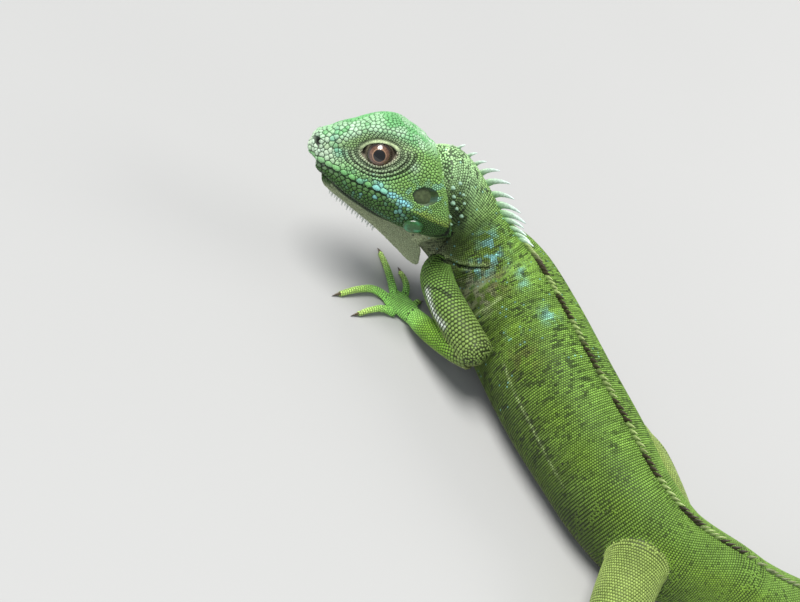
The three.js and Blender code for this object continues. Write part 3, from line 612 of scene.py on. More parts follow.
def sculpt_head(points, normals):
    """Moves the head's points for lids, brow, nostrils, lips, eardrum and jowls."""
    h = to_head(points)
    side = np.sign(h[:, 1])
    side[side == 0] = 1
    h[:, 1] = np.abs(h[:, 1])
    n = normals @ HEAD_AXES.T
    n[:, 1] *= side
    x, y, z = h.T
    push = np.zeros(len(h))

    ridge = line_gap(h, BROW)
    push += 0.45 * bump(ridge, 1.1) * smoothstep(x, 5, 9)
    under = np.array(BROW) + np.array((1.2, 2.2, -2.6))
    push -= 0.55 * bump(line_gap(h, under), 1.6) * smoothstep(x, 8, 12)
    push += 0.3 * bump(line_gap(h, CANTHUS), 1.0)
    push -= 0.5 * bump(np.linalg.norm((h - (9.5, 7.2, 8)) / (1.5, 1, 1), axis=1), 2.6)
    nose = nostril_place(h)
    push += 0.42 * bump(nose - 1.6, 0.55) - 2.0 * bump(nose, 0.85)

    mouth = z - np.interp(x, MOUTH_X, MOUTH_Z)
    lips = 1 - smoothstep(x, 26, 28.5)
    push -= 0.75 * bump(mouth, 0.34) * lips
    push += 0.2 * bump(mouth - 1.3, 1.0) * lips - 0.28 * bump(mouth + 0.9, 0.7) * lips
    under_jaw = window(x, 3, 7, 38, 42)
    push -= 0.75 * bump(jaw_height(x, z), 0.75) * under_jaw
    rear_crown = np.linalg.norm((h - (42, 2, 21.5)) / (1, 1.7, 1), axis=1)
    push += 1.0 * bump(rear_crown, 5)

    ear, _, _ = lid_place(x, z, TYMPANUM)
    outside = smoothstep(y, 8, 10)
    push += (0.22 * bump(ear - 1.22, 0.16) - 0.95 * (1 - smoothstep(ear, 0.82, 1.05))) * outside
    crease = line_gap(h, CREASE)
    push -= 2.0 * bump(crease, 0.95)
    swell = line_gap(h, np.array(JOWL) - (1.3, 0, 0))
    push += 0.8 * bump(swell, 1.3)
    push += 0.3 * bump(np.linalg.norm(h - (30, 12, -1.5), axis=1), 5)

    eye, a, b = lid_place(x, z, LIDS, LID_POWER)
    folds = window(eye, 1.02, 1.12, 2.0, 2.7) * outside
    folds *= 1 - smoothstep(b, -0.6, 2.2)
    push += 0.38 * folds * np.cos((eye - LID_RING) * 2 * np.pi / LID_FOLD)
    push += 0.4 * bump(eye - 1.14, 0.14) * smoothstep(b, 0, 2) * outside
    h = h + n * push[:, None]

    x, y, z = h.T
    eye, a, b = lid_place(x, z, LIDS, LID_POWER)
    flat = (x - EYE_BALL[0]) ** 2 + (z - EYE_BALL[2]) ** 2
    ball = EYE_BALL[1] + np.sqrt(np.maximum((EYE_RADIUS + 0.1) ** 2 - flat, 0))
    lid = np.maximum(ball + 0.42, y - 1.3)
    hold = (1 - smoothstep(eye, 1.08, 1.6)) * (y > 3)
    new_y = y + (lid - y) * hold
    inner = 1 - smoothstep(eye, 0.86, 1.0)
    new_y = new_y + (np.minimum(ball - 1.6, y - 2.4) - new_y) * inner * (y > 3)
    h[:, 1] = new_y * side
    return from_head(h)


def inside_box(places, box):
    return ((places > box[0]) & (places < box[1])).all(axis=1)


VOXEL = 0.5
SKIN_FACES = 180000
HEAD_FROM = -105  # the head lies beyond this x
SCULPTED, PLATED = ((-6, -17, -21), (56, 17, 27)), ((-7, -20, -99), (54, 20, 99))  # in the head's frame
SOFT, SOFT_LOW, LOW = 0.5, 0.22, 6.5  # how far points are relaxed, and less so on hands and feet
RELAX_ROUNDS, REBOUND = 5, -0.52 / 0.5
points, faces, origin = skin_pieces()
flap_points, flap_faces = dewlap_mesh()
faces += [[k + len(points) for k in f] for f in flap_faces]
points = np.vstack([points, flap_points])
origin = np.vstack([origin, np.tile((len(tubes), 0, 0), (len(flap_faces), 1))])
shapes = BVHTree.FromPolygons(points.tolist(), faces)


def locate(places):
    """The tube that each place lies on, and its place and angle there."""
    found = np.array([shapes.find_nearest(p)[2] for p in places.tolist()])
    return origin[found]


skin = mesh_object("skin", points, faces)
remesh = skin.modifiers.new("remesh", "REMESH")
remesh.mode = "VOXEL"
remesh.voxel_size = VOXEL * MM
applied(skin)

points = read_mesh(skin.data)
edges = np.empty(len(skin.data.edges) * 2, np.int32)
skin.data.edges.foreach_get("vertices", edges)
edges = edges.reshape(-1, 2)
quads = np.array([tuple(f.vertices) for f in skin.data.polygons], np.int32)
amount = np.full(len(points), SOFT)
low = (points[:, 2] < LOW) & ((points[:, 0] < -104) | (np.abs(points[:, 1]) > 36))
amount[low] = SOFT_LOW
for _ in range(RELAX_ROUNDS):
    points = relax(points, edges, amount)
    points = relax(points, edges, REBOUND * amount)
for spot, radius, times in JOINTS:
    gap = np.linalg.norm(points - spot, axis=1)
    near = np.flatnonzero(gap < 1.6 * radius)
    index = np.full(len(points), -1)
    index[near] = np.arange(len(near))
    local = index[edges]
    local = local[(local >= 0).all(1)]
    part, soft = points[near], 0.6 * (1 - smoothstep(gap[near], 0.8 * radius, 1.5 * radius))
    for _ in range(times):
        part = relax(part, local, soft)
    points[near] = part
normals = normals_of(points, quads)
head_zone = to_head(points)
near = inside_box(head_zone, SCULPTED) & (points[:, 0] < HEAD_FROM)
points[near] = sculpt_head(points[near], normals[near])
push = np.zeros(len(points))
for line, depth, radius in FOLDS:
    gap, along = line_distance(points, line)
    push -= depth * bump(gap, radius) * np.sin(np.pi * np.clip(along, 0.04, 0.96)) ** 0.5
points = points + normals * push[:, None]
points[:, 2] = np.maximum(points[:, 2], 0.02)
skin.data.vertices.foreach_set("co", (points * MM).astype(np.float32).ravel())
skin.data.update()
normals = normals_of(points, quads)
surface = BVHTree.FromPolygons(points.tolist(), quads.tolist())
thin = skin.modifiers.new("thin", "DECIMATE")
thin.ratio = SKIN_FACES / (2 * len(quads))
applied(skin)
skin.data.shade_smooth()
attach(skin, "root")
FLESH = [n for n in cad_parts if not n.startswith(("eye", "eardrum", "cheek"))]
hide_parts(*FLESH)


def on_skin(places):
    """Nearest places on the skin, with their normals and distances."""
    hits = [surface.find_nearest(p) for p in places.tolist()]
    found = np.array([h[0] for h in hits])
    faces = np.array([h[2] for h in hits])
    return found, unit(normals[quads[faces]].mean(axis=1)), np.array([h[3] for h in hits])


def tree_of(places):
    tree = KDTree(len(places))
    for i, p in enumerate(places.tolist()):
        tree.insert(p, i)
    tree.balance()
    return tree


def thinned(places, reach, tree, free):
    """Free places taken in random order, where each keeps the others out of its reach."""
    chosen = []
    for i in rng.permutation(len(places)).tolist():
        if free[i]:
            chosen.append(i)
            for _, j, _ in tree.find_range(places[i], reach[i]):
                free[j] = False
    return np.array(chosen)


# ---------------------------------------------------------------- colours and markings
BACK, FLANK, BELLY = (0.19, 0.35, 0.055), (0.21, 0.37, 0.038), (0.27, 0.31, 0.1)
NECK, NAPE, THROAT, PALE = (0.25, 0.42, 0.14), (0.37, 0.6, 0.28), (0.37, 0.42, 0.25), (0.48, 0.62, 0.26)
TAIL_GREEN, TAIL_BAND = (0.24, 0.4, 0.08), (0.14, 0.19, 0.06)
LEG, LEG_BAND = (0.27, 0.37, 0.09), (0.21, 0.31, 0.06)
ARM, ELBOW, FOREARM = (0.115, 0.225, 0.038), (0.16, 0.24, 0.055), (0.14, 0.29, 0.022)
# The hands' own bright green is lightened further as painted light against the head's shadow on them.
HAND_GREEN_AND_LIGHT, FINGER = (0.3, 0.66, 0.14), (0.46, 0.68, 0.17)
FOOT_GREEN, TOE = (0.24, 0.43, 0.1), (0.3, 0.42, 0.12)
CROWN, CROWN_GREEN, SNOUT = (0.3, 0.54, 0.3), (0.12, 0.42, 0.13), (0.5, 0.64, 0.47)
FACE, CHEEK = (0.22, 0.44, 0.17), (0.2, 0.39, 0.1)
LID, UPPER_LID = (0.25, 0.32, 0.19), (0.46, 0.56, 0.31)
CHIN_CHEEK, BROW_ROWS = (0.27, 0.38, 0.06), (0.2, 0.38, 0.1)
PALE_PLATE, TEAL_PLATE = (0.55, 0.75, 0.56), (0.13, 0.46, 0.3)
# The last colour, of the lower jaw, is its own dark green deepened with painted shade.
LID_EDGE, UPPER_LIP, JAW_WITH_SHADE = (0.5, 0.48, 0.34), (0.13, 0.38, 0.11), (0.04, 0.11, 0.02)
# The second colour is painted shade, for the crease behind the jowls, the folds, the grooves of lids and
# mouth, a hollow of the neck and the jaw's lower edge.
BLUE, PAINTED_SHADE = (0.24, 0.6, 0.66), (0.012, 0.02, 0.008)
# The first two are painted shade, in the opening of the nostril and on the skin under the upper lid; the
# socket's colour is its own.
NOSTRIL_SHADE, UNDER_LID_SHADE, SOCKET = (0.03, 0.018, 0.02), (0.05, 0.05, 0.03), (0.2, 0.18, 0.13)
TUBERCLE = (0.26, 0.42, 0.3)
WHITE, BROWN, OLIVE = (0.72, 0.78, 0.72), (0.13, 0.1, 0.035), (0.19, 0.2, 0.12)
PALE_LINE = [(-72.8, -20.4, 24.2), (-63.1, -21.3, 22.6), (-53.1, -22.2, 21.8), (-43.7, -22.4, 20.6),
             (-36, -22.3, 19.3), (-29.1, -21.9, 18.5)]
BLUE_PATCH = [(-111, -9.5, 40.3), (-107, -11, 38.6), (-105.4, -14.7, 34)]
THROAT_SIDE = [(-124, -22, 24), (-131, -26, 27), (-136, -33, 30)]
# A hollow at the side of the neck that gets painted shade.
HOLLOW_SHADE = [(-122.6, -25.2, 48.5), (-121, -22.1, 44.8), (-119.4, -18.9, 40.9)]
ARMPIT_EDGE = [(-94.5, -19, 22), (-93.7, -18.2, 26.3), (-92.5, -17.3, 31), (-92.4, -15.2, 34.5)]
ARM_STRIP = [(-108.7, -28.9, 21.3), (-104.3, -30.1, 20.6), (-99.8, -30.6, 19.9), (-94.2, -31.2, 21)]
PATCHES = [  # spots on the left of the trunk: place, radius, colour, strength
    ((-98.2, -13.7, 35.6), 5.5, BROWN, 0.6), ((-70.5, -18.3, 32), 6, BROWN, 0.5),
    ((-101.5, -17.1, 27.2), 6.5, OLIVE, 0.9), ((-95.5, -17.3, 29.5), 5, OLIVE, 0.7),
    ((-97.5, -7.4, 41.5), 2.2, BLUE, 0.4), ((-92.6, -8.6, 40.9), 2, BLUE, 0.35),
    ((-78.5, -7.2, 41.1), 3, BLUE, 0.5), ((-79.5, -17.2, 32.6), 2.2, BLUE, 0.3),
]
BLUE_BAND = [(22.1, 11, 3.5), (25.4, 11.7, 3.3), (28.5, 12.2, 2.9), (31.5, 12.7, 2.6), (34.6, 13, 2.4)]
TEAL_LINE = [(3.1, 4.2, 12.1), (4.8, 6.2, 7.7), (6.8, 6.9, 6.7), (9.5, 7.8, 7.5)]
PALE_SPOTS = [((7.4, 4.9, 15.2), 2.6, 0.9), ((30.6, 12.8, 14.5), 1.8, 0.6)]  # place, radius, strength
CHEEK_SPOTS = [(20, 10, 1), (30, 12, 0.5), (44, 12, 12)]
LATTICE_SIZE = 32
LATTICE = rng.random((LATTICE_SIZE,) * 3)


def noise(places, size, seed=0):
    """Smooth noise from 0 to 1, in blobs of the given size."""
    q = np.asarray(places) / size + seed * 7.31
    cell = np.floor(q).astype(int)
    f = q - cell
    f = f * f * (3 - 2 * f)
    total = np.zeros(len(q))
    for corner in range(8):
        step = np.array([corner & 1, corner >> 1 & 1, corner >> 2 & 1])
        weight = np.prod(np.where(step, f, 1 - f), axis=1)
        i, j, k = ((cell + step) % LATTICE_SIZE).T
        total += weight * LATTICE[i, j, k]
    return total


def mix(a, b, share):
    return a + (np.asarray(b) - a) * np.clip(share, 0, 1)[:, None]


def evenly(colour, count):
    return np.tile(np.array(colour, float), (count, 1))


def body_row(u):
    """Row of BODY at a place on the spine, below zero on the tail."""
    return np.asarray(u) * (len(SPINE_ROWS) - 1) - len(TAIL)


def paint_trunk(points, u, angle):
    row, top = body_row(u), np.sin(angle)
    arc = np.interp(u, spine.us, spine.arc)
    colour = mix(evenly(FLANK, len(points)), BACK, smoothstep(top, 0.5, 0.95))
    colour = mix(colour, BELLY, smoothstep(-top, 0.45, 0.9))
    colour = mix(colour, NECK, smoothstep(row, 7.6, 9.2) * (1 - smoothstep(-top, 0.2, 0.8)))
    colour = mix(colour, NAPE, smoothstep(row, 8.8, 10.2) * smoothstep(top, 0.1, 0.6))
    # Painted shade: on the trunk, from the tail root forward, the colour grows darker from the back down
    # the flanks, darkest low on the flank.
    shaded = np.interp(top, (-0.9, -0.3, 0.1, 0.7, 1), (0.42, 0.3, 0.42, 0.8, 1))
    colour = colour * (1 + (shaded - 1) * smoothstep(row, 0, 2))[:, None]
    # Painted shade on the flank around the shoulders, where the arms meet the body, but not on the top
    # of the back.
    shoulder_shade = window(row, 4.6, 6.4, 8, 9)
    shoulder_shade *= 1 - smoothstep(top, 0.6, 0.92)
    colour = colour * (1 - 0.42 * shoulder_shade)[:, None]
    band = 0.5 + 0.5 * np.cos(arc / 2.6 + 3 * noise(points, 14, 1))
    on_body = window(row, -1, 2, 7, 8.5)
    colour = mix(colour, np.array(BACK) * 0.7, 0.35 * band * on_body * smoothstep(top, -0.5, 0.3))
    colour = mix(colour, TAIL_GREEN, smoothstep(-row, 0.5, 6))
    ring = smoothstep(np.cos((spine.length - arc) / 5.2 + 1.5 * noise(points, 9, 2)), -0.2, 0.7)
    colour = mix(colour, TAIL_BAND, 0.7 * ring * smoothstep(-row, 2, 16))
    gap = line_gap(points, PALE_LINE)
    broken = 0.35 + 0.65 * smoothstep(noise(points, 3, 21), 0.3, 0.6)
    colour = mix(colour, PALE, 0.6 * bump(gap, 0.5) * broken)
    blue = bump(line_gap(points, BLUE_PATCH), 4) * smoothstep(noise(points, 1.9, 3), 0.42, 0.7)
    colour = mix(colour, BLUE, 0.6 * blue)
    blotch = smoothstep(noise(points, 1.7, 17), 0.35, 0.6)
    for place, radius, tone, strength in PATCHES:
        gap = np.linalg.norm(points - place, axis=1)
        colour = mix(colour, tone, strength * bump(gap, radius) * blotch)
    colour = mix(colour, PALE, 0.6 * bump(line_gap(points, ARMPIT_EDGE), 0.55))
    lip = np.array(ARM_FOLD) + (0, 0, 1.4)
    colour = mix(colour, PALE, 0.45 * bump(side_gap(points, lip), 0.7) * (points[:, 1] < LEFT_FROM))
    # Painted shade in the hollow at the side of the neck.
    colour = mix(colour, PAINTED_SHADE, 0.6 * bump(line_gap(points, HOLLOW_SHADE), 2.2))
    gap = line_gap(points, THROAT_SIDE)
    colour = mix(colour, THROAT, 0.8 * smoothstep(row, 7.6, 9) * smoothstep(-top, 0.25, 0.7))
    return mix(colour, THROAT, 0.9 * bump(gap, 7) * (row > 7))


def paint_limb(points, name, u, angle):
    top, count = np.sin(angle), len(points)
    if name.startswith(("thigh", "shank")):
        bands = 0.5 + 0.5 * np.cos(u * 14 + 2 * noise(points, 8, 4))
        colour = mix(evenly(LEG, count), LEG_BAND, 0.35 * bands * smoothstep(top, -0.3, 0.5))
    elif name.startswith("upper"):
        colour = mix(evenly(ARM, count), ELBOW, smoothstep(u, 0.45, 1))
        colour = mix(colour, WHITE, 0.95 * bump(line_gap(points, ARM_STRIP), 1.2))
    elif name.startswith("forearm"):
        colour = mix(evenly(ELBOW, count), FOREARM, smoothstep(u, 0.05, 0.4))
        colour = mix(colour, HAND_GREEN_AND_LIGHT, 0.85 * smoothstep(u, 0.6, 1))
    else:
        # Hands take their green with its painted light; feet their own green.
        green, end = (HAND_GREEN_AND_LIGHT, FINGER) if "hand" in name else (FOOT_GREEN, TOE)
        ahead = smoothstep(u, 0.1, 0.9) * name.startswith("digit")
        colour = mix(evenly(green, count), end, ahead)
    return mix(colour, BELLY, smoothstep(-top, 0.4, 0.95) * 0.7)


def paint_head(points):
    h = to_head(points)
    h[:, 1] = np.abs(h[:, 1])
    x, y, z = h.T
    brow = np.interp(x, CROWN_X, CROWN_Z)
    crown = smoothstep(z - brow, -3.2, 0.8)
    colour = mix(evenly(FACE, len(points)), CHEEK, smoothstep(x, 22, 31))
    colour = mix(colour, CHIN_CHEEK, smoothstep(x, 34, 41) * (1 - smoothstep(z, 0, 5)))
    colour = mix(colour, SNOUT, 1 - smoothstep(x, 2, 13))
    colour = mix(colour, CROWN, crown)
    teal = bump(line_gap(h, TEAL_LINE), 1.3) * smoothstep(noise(points, 2.4, 22), 0.35, 0.55)
    colour = mix(colour, TEAL_PLATE, 0.8 * teal)
    for place, radius, strength in PALE_SPOTS:
        gap = np.linalg.norm(h - place, axis=1)
        colour = mix(colour, PALE_PLATE, strength * bump(gap, radius))
    colour = mix(colour, CROWN_GREEN, 0.8 * smoothstep(noise(points, 3.4, 5), 0.45, 0.58) * crown)
    pale = smoothstep(noise(points, 2, 23), 0.5, 0.66) * smoothstep(x, 25, 32)
    colour = mix(colour, PALE_PLATE, 0.75 * pale * crown)
    ridge = bump(line_gap(h, BROW), 1.2)
    colour = mix(colour, PALE_PLATE, 0.5 * ridge * smoothstep(noise(points, 2.5, 24), 0.3, 0.5))
    mouth = z - np.interp(x, MOUTH_X, MOUTH_Z)
    lips = 1 - smoothstep(x, 25, 30)
    colour = mix(colour, UPPER_LIP, 0.75 * bump(mouth - 1.3, 1.1) * lips)
    # The lower jaw, dark green with painted shade.
    colour = mix(colour, JAW_WITH_SHADE, smoothstep(-mouth, 0.0, 1.2))
    edge = jaw_height(x, z)
    colour = mix(colour, THROAT, 0.75 * smoothstep(-edge, 0.2, 1.4) * (1 - smoothstep(x, 36, 40)))
    # Painted shadow along the lower edge of the jaw, where the throat lies under it.
    shadow = bump(edge - 0.1, 0.8) * window(x, 3, 7, 40, 43)
    colour = mix(colour, PAINTED_SHADE, 0.92 * shadow)
    # Painted shade in the groove of the mouth.
    colour = mix(colour, PAINTED_SHADE, 0.75 * bump(mouth, 0.26) * lips)
    eye, _, b = lid_place(x, z, LIDS, LID_POWER)
    outside = y > 4
    lid = (1 - smoothstep(eye, 1.5, 2.4)) * outside
    colour = mix(colour, LID, 0.8 * lid * (1 - crown))
    over = smoothstep(b, 0.2, 2) * outside
    over_rows = over * smoothstep(eye, 1.3, 1.5) * (1 - smoothstep(z - brow, -4, -2))
    colour = mix(colour, BROW_ROWS, 0.5 * over_rows)
    colour = mix(colour, UPPER_LID, 0.95 * over * bump(eye - 1.14, 0.17))
    # Painted shade in the narrow groove above the pale band of the upper lid.
    colour = mix(colour, PAINTED_SHADE, 0.6 * over * bump(eye - 1.36, 0.05))
    colour = mix(colour, LID_EDGE, 0.8 * bump(eye - 1.05, 0.07) * outside * (1 - over))
    blue = bump(line_gap(h, BLUE_BAND), 1.25) * smoothstep(noise(points, 1.3, 6), 0.15, 0.4)
    colour = mix(colour, BLUE, 0.95 * blue)
    spots = bump(line_gap(h, CHEEK_SPOTS), 5)
    colour = mix(colour, BLUE, 0.4 * spots * smoothstep(noise(points, 1.5, 7), 0.62, 0.74))
    nose = nostril_place(h)
    colour = mix(colour, PALE_PLATE, 0.6 * bump(nose - 1.7, 0.7))
    # Painted shade in the opening of the nostril.
    colour = mix(colour, NOSTRIL_SHADE, bump(nose, 0.95))
    # Painted shade in the grooves between the folds below the eye.
    groove = 0.5 - 0.5 * np.cos((eye - LID_RING) * 2 * np.pi / LID_FOLD)
    below = outside * window(eye, 1.08, 1.2, 2.0, 2.6)
    below *= 1 - smoothstep(b, -0.6, 2.2)
    return mix(colour, PAINTED_SHADE, 0.7 * groove**3 * below)


def paint(points, part, u, angle):
    """Colour of skin and scales, as linear red, green and blue."""
    colour = np.zeros((len(points), 3))
    for k in np.unique(part):
        here = part == k
        if k == 0:
            colour[here] = paint_trunk(points[here], u[here], angle[here])
        elif k == 1:
            colour[here] = paint_head(points[here])
        elif k == len(tubes):
            # The top of the throat flap, under the jaw, takes the jaw's colour with its painted shade.
            down = -to_head(points[here])[:, 2]
            colour[here] = mix(evenly(JAW_WITH_SHADE, here.sum()), THROAT, 0.95 * smoothstep(down, 5, 7.5))
        else:
            colour[here] = paint_limb(points[here], tubes[int(k)].name, u[here], angle[here])
    # Painted shade in the deep crease behind the jowls.
    colour = mix(colour, PAINTED_SHADE, 0.97 * bump(crease_gap(points), 0.7) * (part < 2))
    # Painted shade in the folds of the throat, shoulder and elbow on the left.
    for line, breadth in ((THROAT_FOLD, 0.5), (ARM_FOLD, 0.5), (ELBOW_FOLD, 0.4)):
        near = bump(side_gap(points, line), breadth) * (points[:, 1] < LEFT_FROM)
        colour = mix(colour, PAINTED_SHADE, 0.95 * near)
    return np.clip(colour * (0.86 + 0.28 * noise(points, 6, 8))[:, None], 0.004, 0.95)


def set_tint(thing, colour):
    layer = thing.data.color_attributes.new("tint", "FLOAT_COLOR", "POINT")
    rgba = np.ones((len(colour), 4), np.float32)
    rgba[:, :3] = colour
    layer.data.foreach_set("color", rgba.ravel())


# ---------------------------------------------------------------- scales
# Each kind has points along, across and up, its triangles, and how light each point is: painted shade at
# the foot of each scale, painted light on its raised top.
SHINGLE = (
    [(-0.5, -0.42, -0.3), (-0.5, 0.42, -0.3), (0.1, -0.55, 0.0), (0.1, 0.55, 0.0), (0.5, -0.36, 0.38),
     (0.5, 0.36, 0.38), (0.64, 0, 0.62), (-0.25, 0, 0.52), (0.42, -0.3, -0.4), (0.42, 0.3, -0.4)],
    [(0, 2, 7), (0, 7, 1), (1, 7, 3), (2, 4, 7), (3, 7, 5), (4, 6, 7), (6, 5, 7), (2, 8, 4), (3, 5, 9),
     (4, 8, 6), (6, 9, 5), (6, 8, 9), (0, 8, 2), (1, 3, 9), (0, 1, 9), (0, 9, 8)],
    [0.1, 0.1, 0.3, 0.3, 1.15, 1.15, 1.45, 0.8, 0.06, 0.06],
)


def dome(sides, rings, lean=0.1):
    """A low dome of rings of reach, rise and lightness, whose tip leans along the lie. The lightness is
    painted shade at its foot and painted light at its top.
    """
    points, shade = [], []
    for reach, rise, light in rings:
        for k in range(sides):
            a = 2 * math.pi * (k + 0.5) / sides
            x = reach * 0.53 * math.cos(a) + lean * max(rise, 0)
            points.append((x, reach * 0.53 * math.sin(a), rise))
            shade.append(light)
    points.append((lean * 1.2, 0, rings[-1][1] + 0.12))
    shade.append(rings[-1][2] + 0.05)
    faces = ring_triangles(len(rings), sides)
    top = (len(rings) - 1) * sides
    faces += [(top + k, top + (k + 1) % sides, top + sides) for k in range(sides)]
    faces += [(0, k + 1, k) for k in range(1, sides - 1)]
    return points, faces, shade


ROWED = (*SHINGLE[:2], [0.05, 0.05, 0.6, 0.6, 1.2, 1.2, 1.4, 0.75, 0.05, 0.05])
SMOOTH = (*SHINGLE[:2], [0.86, 0.86, 0.94, 0.94, 1.0, 1.0, 1.03, 0.99, 0.75, 0.75])
BEAD = dome(8, ((0.94, -0.4, 0.12), (0.9, 0.25, 0.6), (0.6, 0.85, 1.15)))
NECK_BEAD = dome(8, ((0.94, -0.4, 0.3), (0.9, 0.25, 0.72), (0.6, 0.85, 1.1)))
FINE = dome(5, ((0.98, -0.3, 0.75), (0.74, 0.6, 0.98)))
GRANULE = dome(6, ((0.96, -0.35, 0.3), (0.72, 0.7, 1.1)))
PIECE_FACES = 190000
SCALE_PATCH, PLATE_PATCH = 0.0028, 0.003  # size of one scale in the OFBake map
coat = []


def finish_coat(name, points, faces, colour, uv):
    thing = even_mesh(name, np.clip(points, *INSIDE), faces)
    set_tint(thing, colour)
    layer = thing.data.uv_layers.new(name="OFBake")
    layer.data.foreach_set("uv", uv[faces.ravel()].astype(np.float32).ravel())
    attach(thing, "root")
    coat.append(thing)


def in_pieces(name, order, faces_each):
    """Names and shares of a coat, split so that each piece stays under PIECE_FACES faces."""
    count = math.ceil(len(order) * faces_each / PIECE_FACES)
    for k in range(count):
        share = order[k * len(order) // count:(k + 1) * len(order) // count]
        yield f"{name}_{k + 1}" if count > 1 else name, share


def repeated(faces, times, points_each):
    """The faces of one form, for many forms whose points follow each other."""
    return (faces[None] + np.arange(times)[:, None, None] * points_each).reshape(-1, faces.shape[1])


def add_scales(name, kind, roots, normal, lie, size, colour, place):
    """Meshes of scales of a size along, across and up, split to stay under PIECE_FACES faces."""
    shape, faces, shade = np.array(kind[0]), np.array(kind[1]), np.array(kind[2])
    lie = unit(lie - normal * (lie * normal).sum(1)[:, None])
    side = np.cross(normal, lie)
    for piece, now in in_pieces(name, np.arange(len(roots)), len(faces)):
        local = size[now, None, :] * shape[None]
        made = roots[now, None] + lie[now, None] * local[..., :1] + side[now, None] * local[..., 1:2]
        made = (made + normal[now, None] * local[..., 2:]).reshape(-1, 3)
        tint = (colour[now, None] * shade[None, :, None]).reshape(-1, 3)
        uv = (place[now, None] + shape[None, :, :2] * SCALE_PATCH).reshape(-1, 2)
        finish_coat(piece, made, repeated(faces, len(now), len(shape)), tint, uv)


def ring_size(name, u):
    """Length and width of the scales at a place on a tube."""
    if name == "spine":
        at = (-47, -25, -8, 0, 8, 9.5, 11)
        row = body_row(u)
        length = np.interp(row, at, (1.3, 1.6, 1.15, 0.8, 0.77, 0.9, 0.9))
        return length, np.interp(row, at, (0.8, 1.0, 0.9, 0.84, 0.84, 0.95, 0.9))
    if name.startswith("upper"):
        at = (0, 0.35, 0.6, 1)
        return np.interp(u, at, (1.05, 1.0, 1.15, 1.4)), np.interp(u, at, (0.8, 0.95, 1.3, 1.6))
    if name.startswith("forearm"):
        at = (0, 0.35, 1)
        return np.interp(u, at, (1.6, 1.05, 0.85)), np.interp(u, at, (1.7, 1.1, 0.9))
    each = {"thigh": (0.9, 0.92), "shank": (0.95, 1), "digit": (0.85, 0.9)}.get(name[:5], (0.75, 0.75))
    return np.full(np.shape(u), each[0]), np.full(np.shape(u), each[1])


def scale_rows(tube):
    """Place, angle and width of scales in even rows round a tube, every other row shifted."""
    distance, shift = 0.0, 0.0
    us, angles, spans = [], [], []
    ring = np.linspace(0, 2 * np.pi, 73) + np.pi / 2
    while distance < tube.length:
        u = float(tube.at(distance))
        pitch, width = (float(v) for v in ring_size(tube.name, u))
        loop = tube.surface(np.full(73, u), ring)
        girth = np.concatenate([[0], np.cumsum(np.linalg.norm(np.diff(loop, axis=0), axis=1))])
        count = max(5, round(girth[-1] / width))
        targets = (np.arange(count) + shift) / count * girth[-1]
        angles.append(np.interp(targets, girth, ring))
        us.append(np.full(count, u))
        spans.append(np.full(count, girth[-1] / count))
        shift = 0.5 - shift
        distance += pitch
    return np.concatenate(us), np.concatenate(angles), np.concatenate(spans)


def lie_of(tube, u, angle):
    """The way the scales point: to the tail on the body, to the claws on a limb."""
    ahead = tube.surface(np.minimum(u + 2e-3, 1), angle)
    lie = unit(ahead - tube.surface(np.maximum(u - 2e-3, 0), angle))
    return -lie if tube.name == "spine" else lie


def body_scales():
    """Scale roots on the skin behind the head: spot, normal, lie, part, u, angle, length, width."""
    found = []
    for k, tube in enumerate(tubes):
        if k == 1:
            continue
        u, angle, span = scale_rows(tube)
        raw = tube.surface(u, angle, -0.2 if tube.name.startswith("digit") else -COAT)
        spot, normal, gap = on_skin(raw)
        keep = gap < 0.7
        values = (spot, normal, lie_of(tube, u, angle), np.full(len(u), k), u, angle,
                  ring_size(tube.name, u)[0], span)
        found.append([v[keep] for v in values])
    found = [np.concatenate(v) for v in zip(*found)]
    spot, part, size = found[0], found[3], found[6]
    tree = tree_of(spot)
    keep = np.ones(len(spot), bool)
    for i, p in enumerate(spot.tolist()):
        if keep[i]:
            for _, j, _ in tree.find_range(p, 0.55 * size[i]):
                if j > i and part[j] != part[i]:
                    keep[j] = False
    keep &= (shapes_part(spot) != 1) & (crease_gap(spot) > 0.42)
    for line in (THROAT_FOLD, ARM_FOLD):
        keep &= (side_gap(spot, line) > 0.3) | (spot[:, 1] > LEFT_FROM)
    return [v[keep] for v in found]


def shapes_part(places):
    return locate(places)[:, 0].astype(int)


def bare_scales(spot, size):
    """The same for the skin that the rows leave bare: folds, joints and the throat flap."""
    middle = points[quads].mean(axis=1)
    tree = tree_of(spot)
    nearest = [tree.find(p)[1:] for p in middle.tolist()]
    near = np.array([n[0] for n in nearest])
    gap = np.array([n[1] for n in nearest])
    open_skin = np.flatnonzero(gap > 0.72 * size[near])
    where = locate(middle[open_skin])
    use = (where[:, 0] != 1) & (crease_gap(middle[open_skin]) > 0.5)
    for line in (THROAT_FOLD, ARM_FOLD):
        use &= (side_gap(middle[open_skin], line) > 0.35) | (middle[open_skin][:, 1] > LEFT_FROM)
    open_skin, where = open_skin[use], where[use]
    spots = middle[open_skin]
    sizes = np.where(where[:, 0] == len(tubes), 0.62, np.minimum(size[near[open_skin]], 1))
    chosen = thinned(spots, 0.86 * sizes, tree_of(spots), np.ones(len(spots), bool))
    spots, where, sizes = spots[chosen], where[chosen], sizes[chosen]
    normal = unit(normals[quads[open_skin[chosen]]].mean(axis=1))
    part, u, angle = where[:, 0].astype(int), where[:, 1], where[:, 2]
    lie = evenly(from_head((1, 0, -0.35)) - from_head((0, 0, 0)), len(spots))
    for k, tube in enumerate(tubes):
        here = part == k
        if here.any():
            lie[here] = lie_of(tube, u[here], angle[here])
    return [spots, normal, lie, part, u, angle, sizes, sizes]


def unwrap(part, u, angle):
    """Place of a root on an unwrap of its own part: along it and round it."""
    turn = ((angle - np.pi / 2) / (2 * np.pi)) % 1
    return np.stack([0.01 + 0.98 * u, 0.01 + 0.98 * turn], 1)


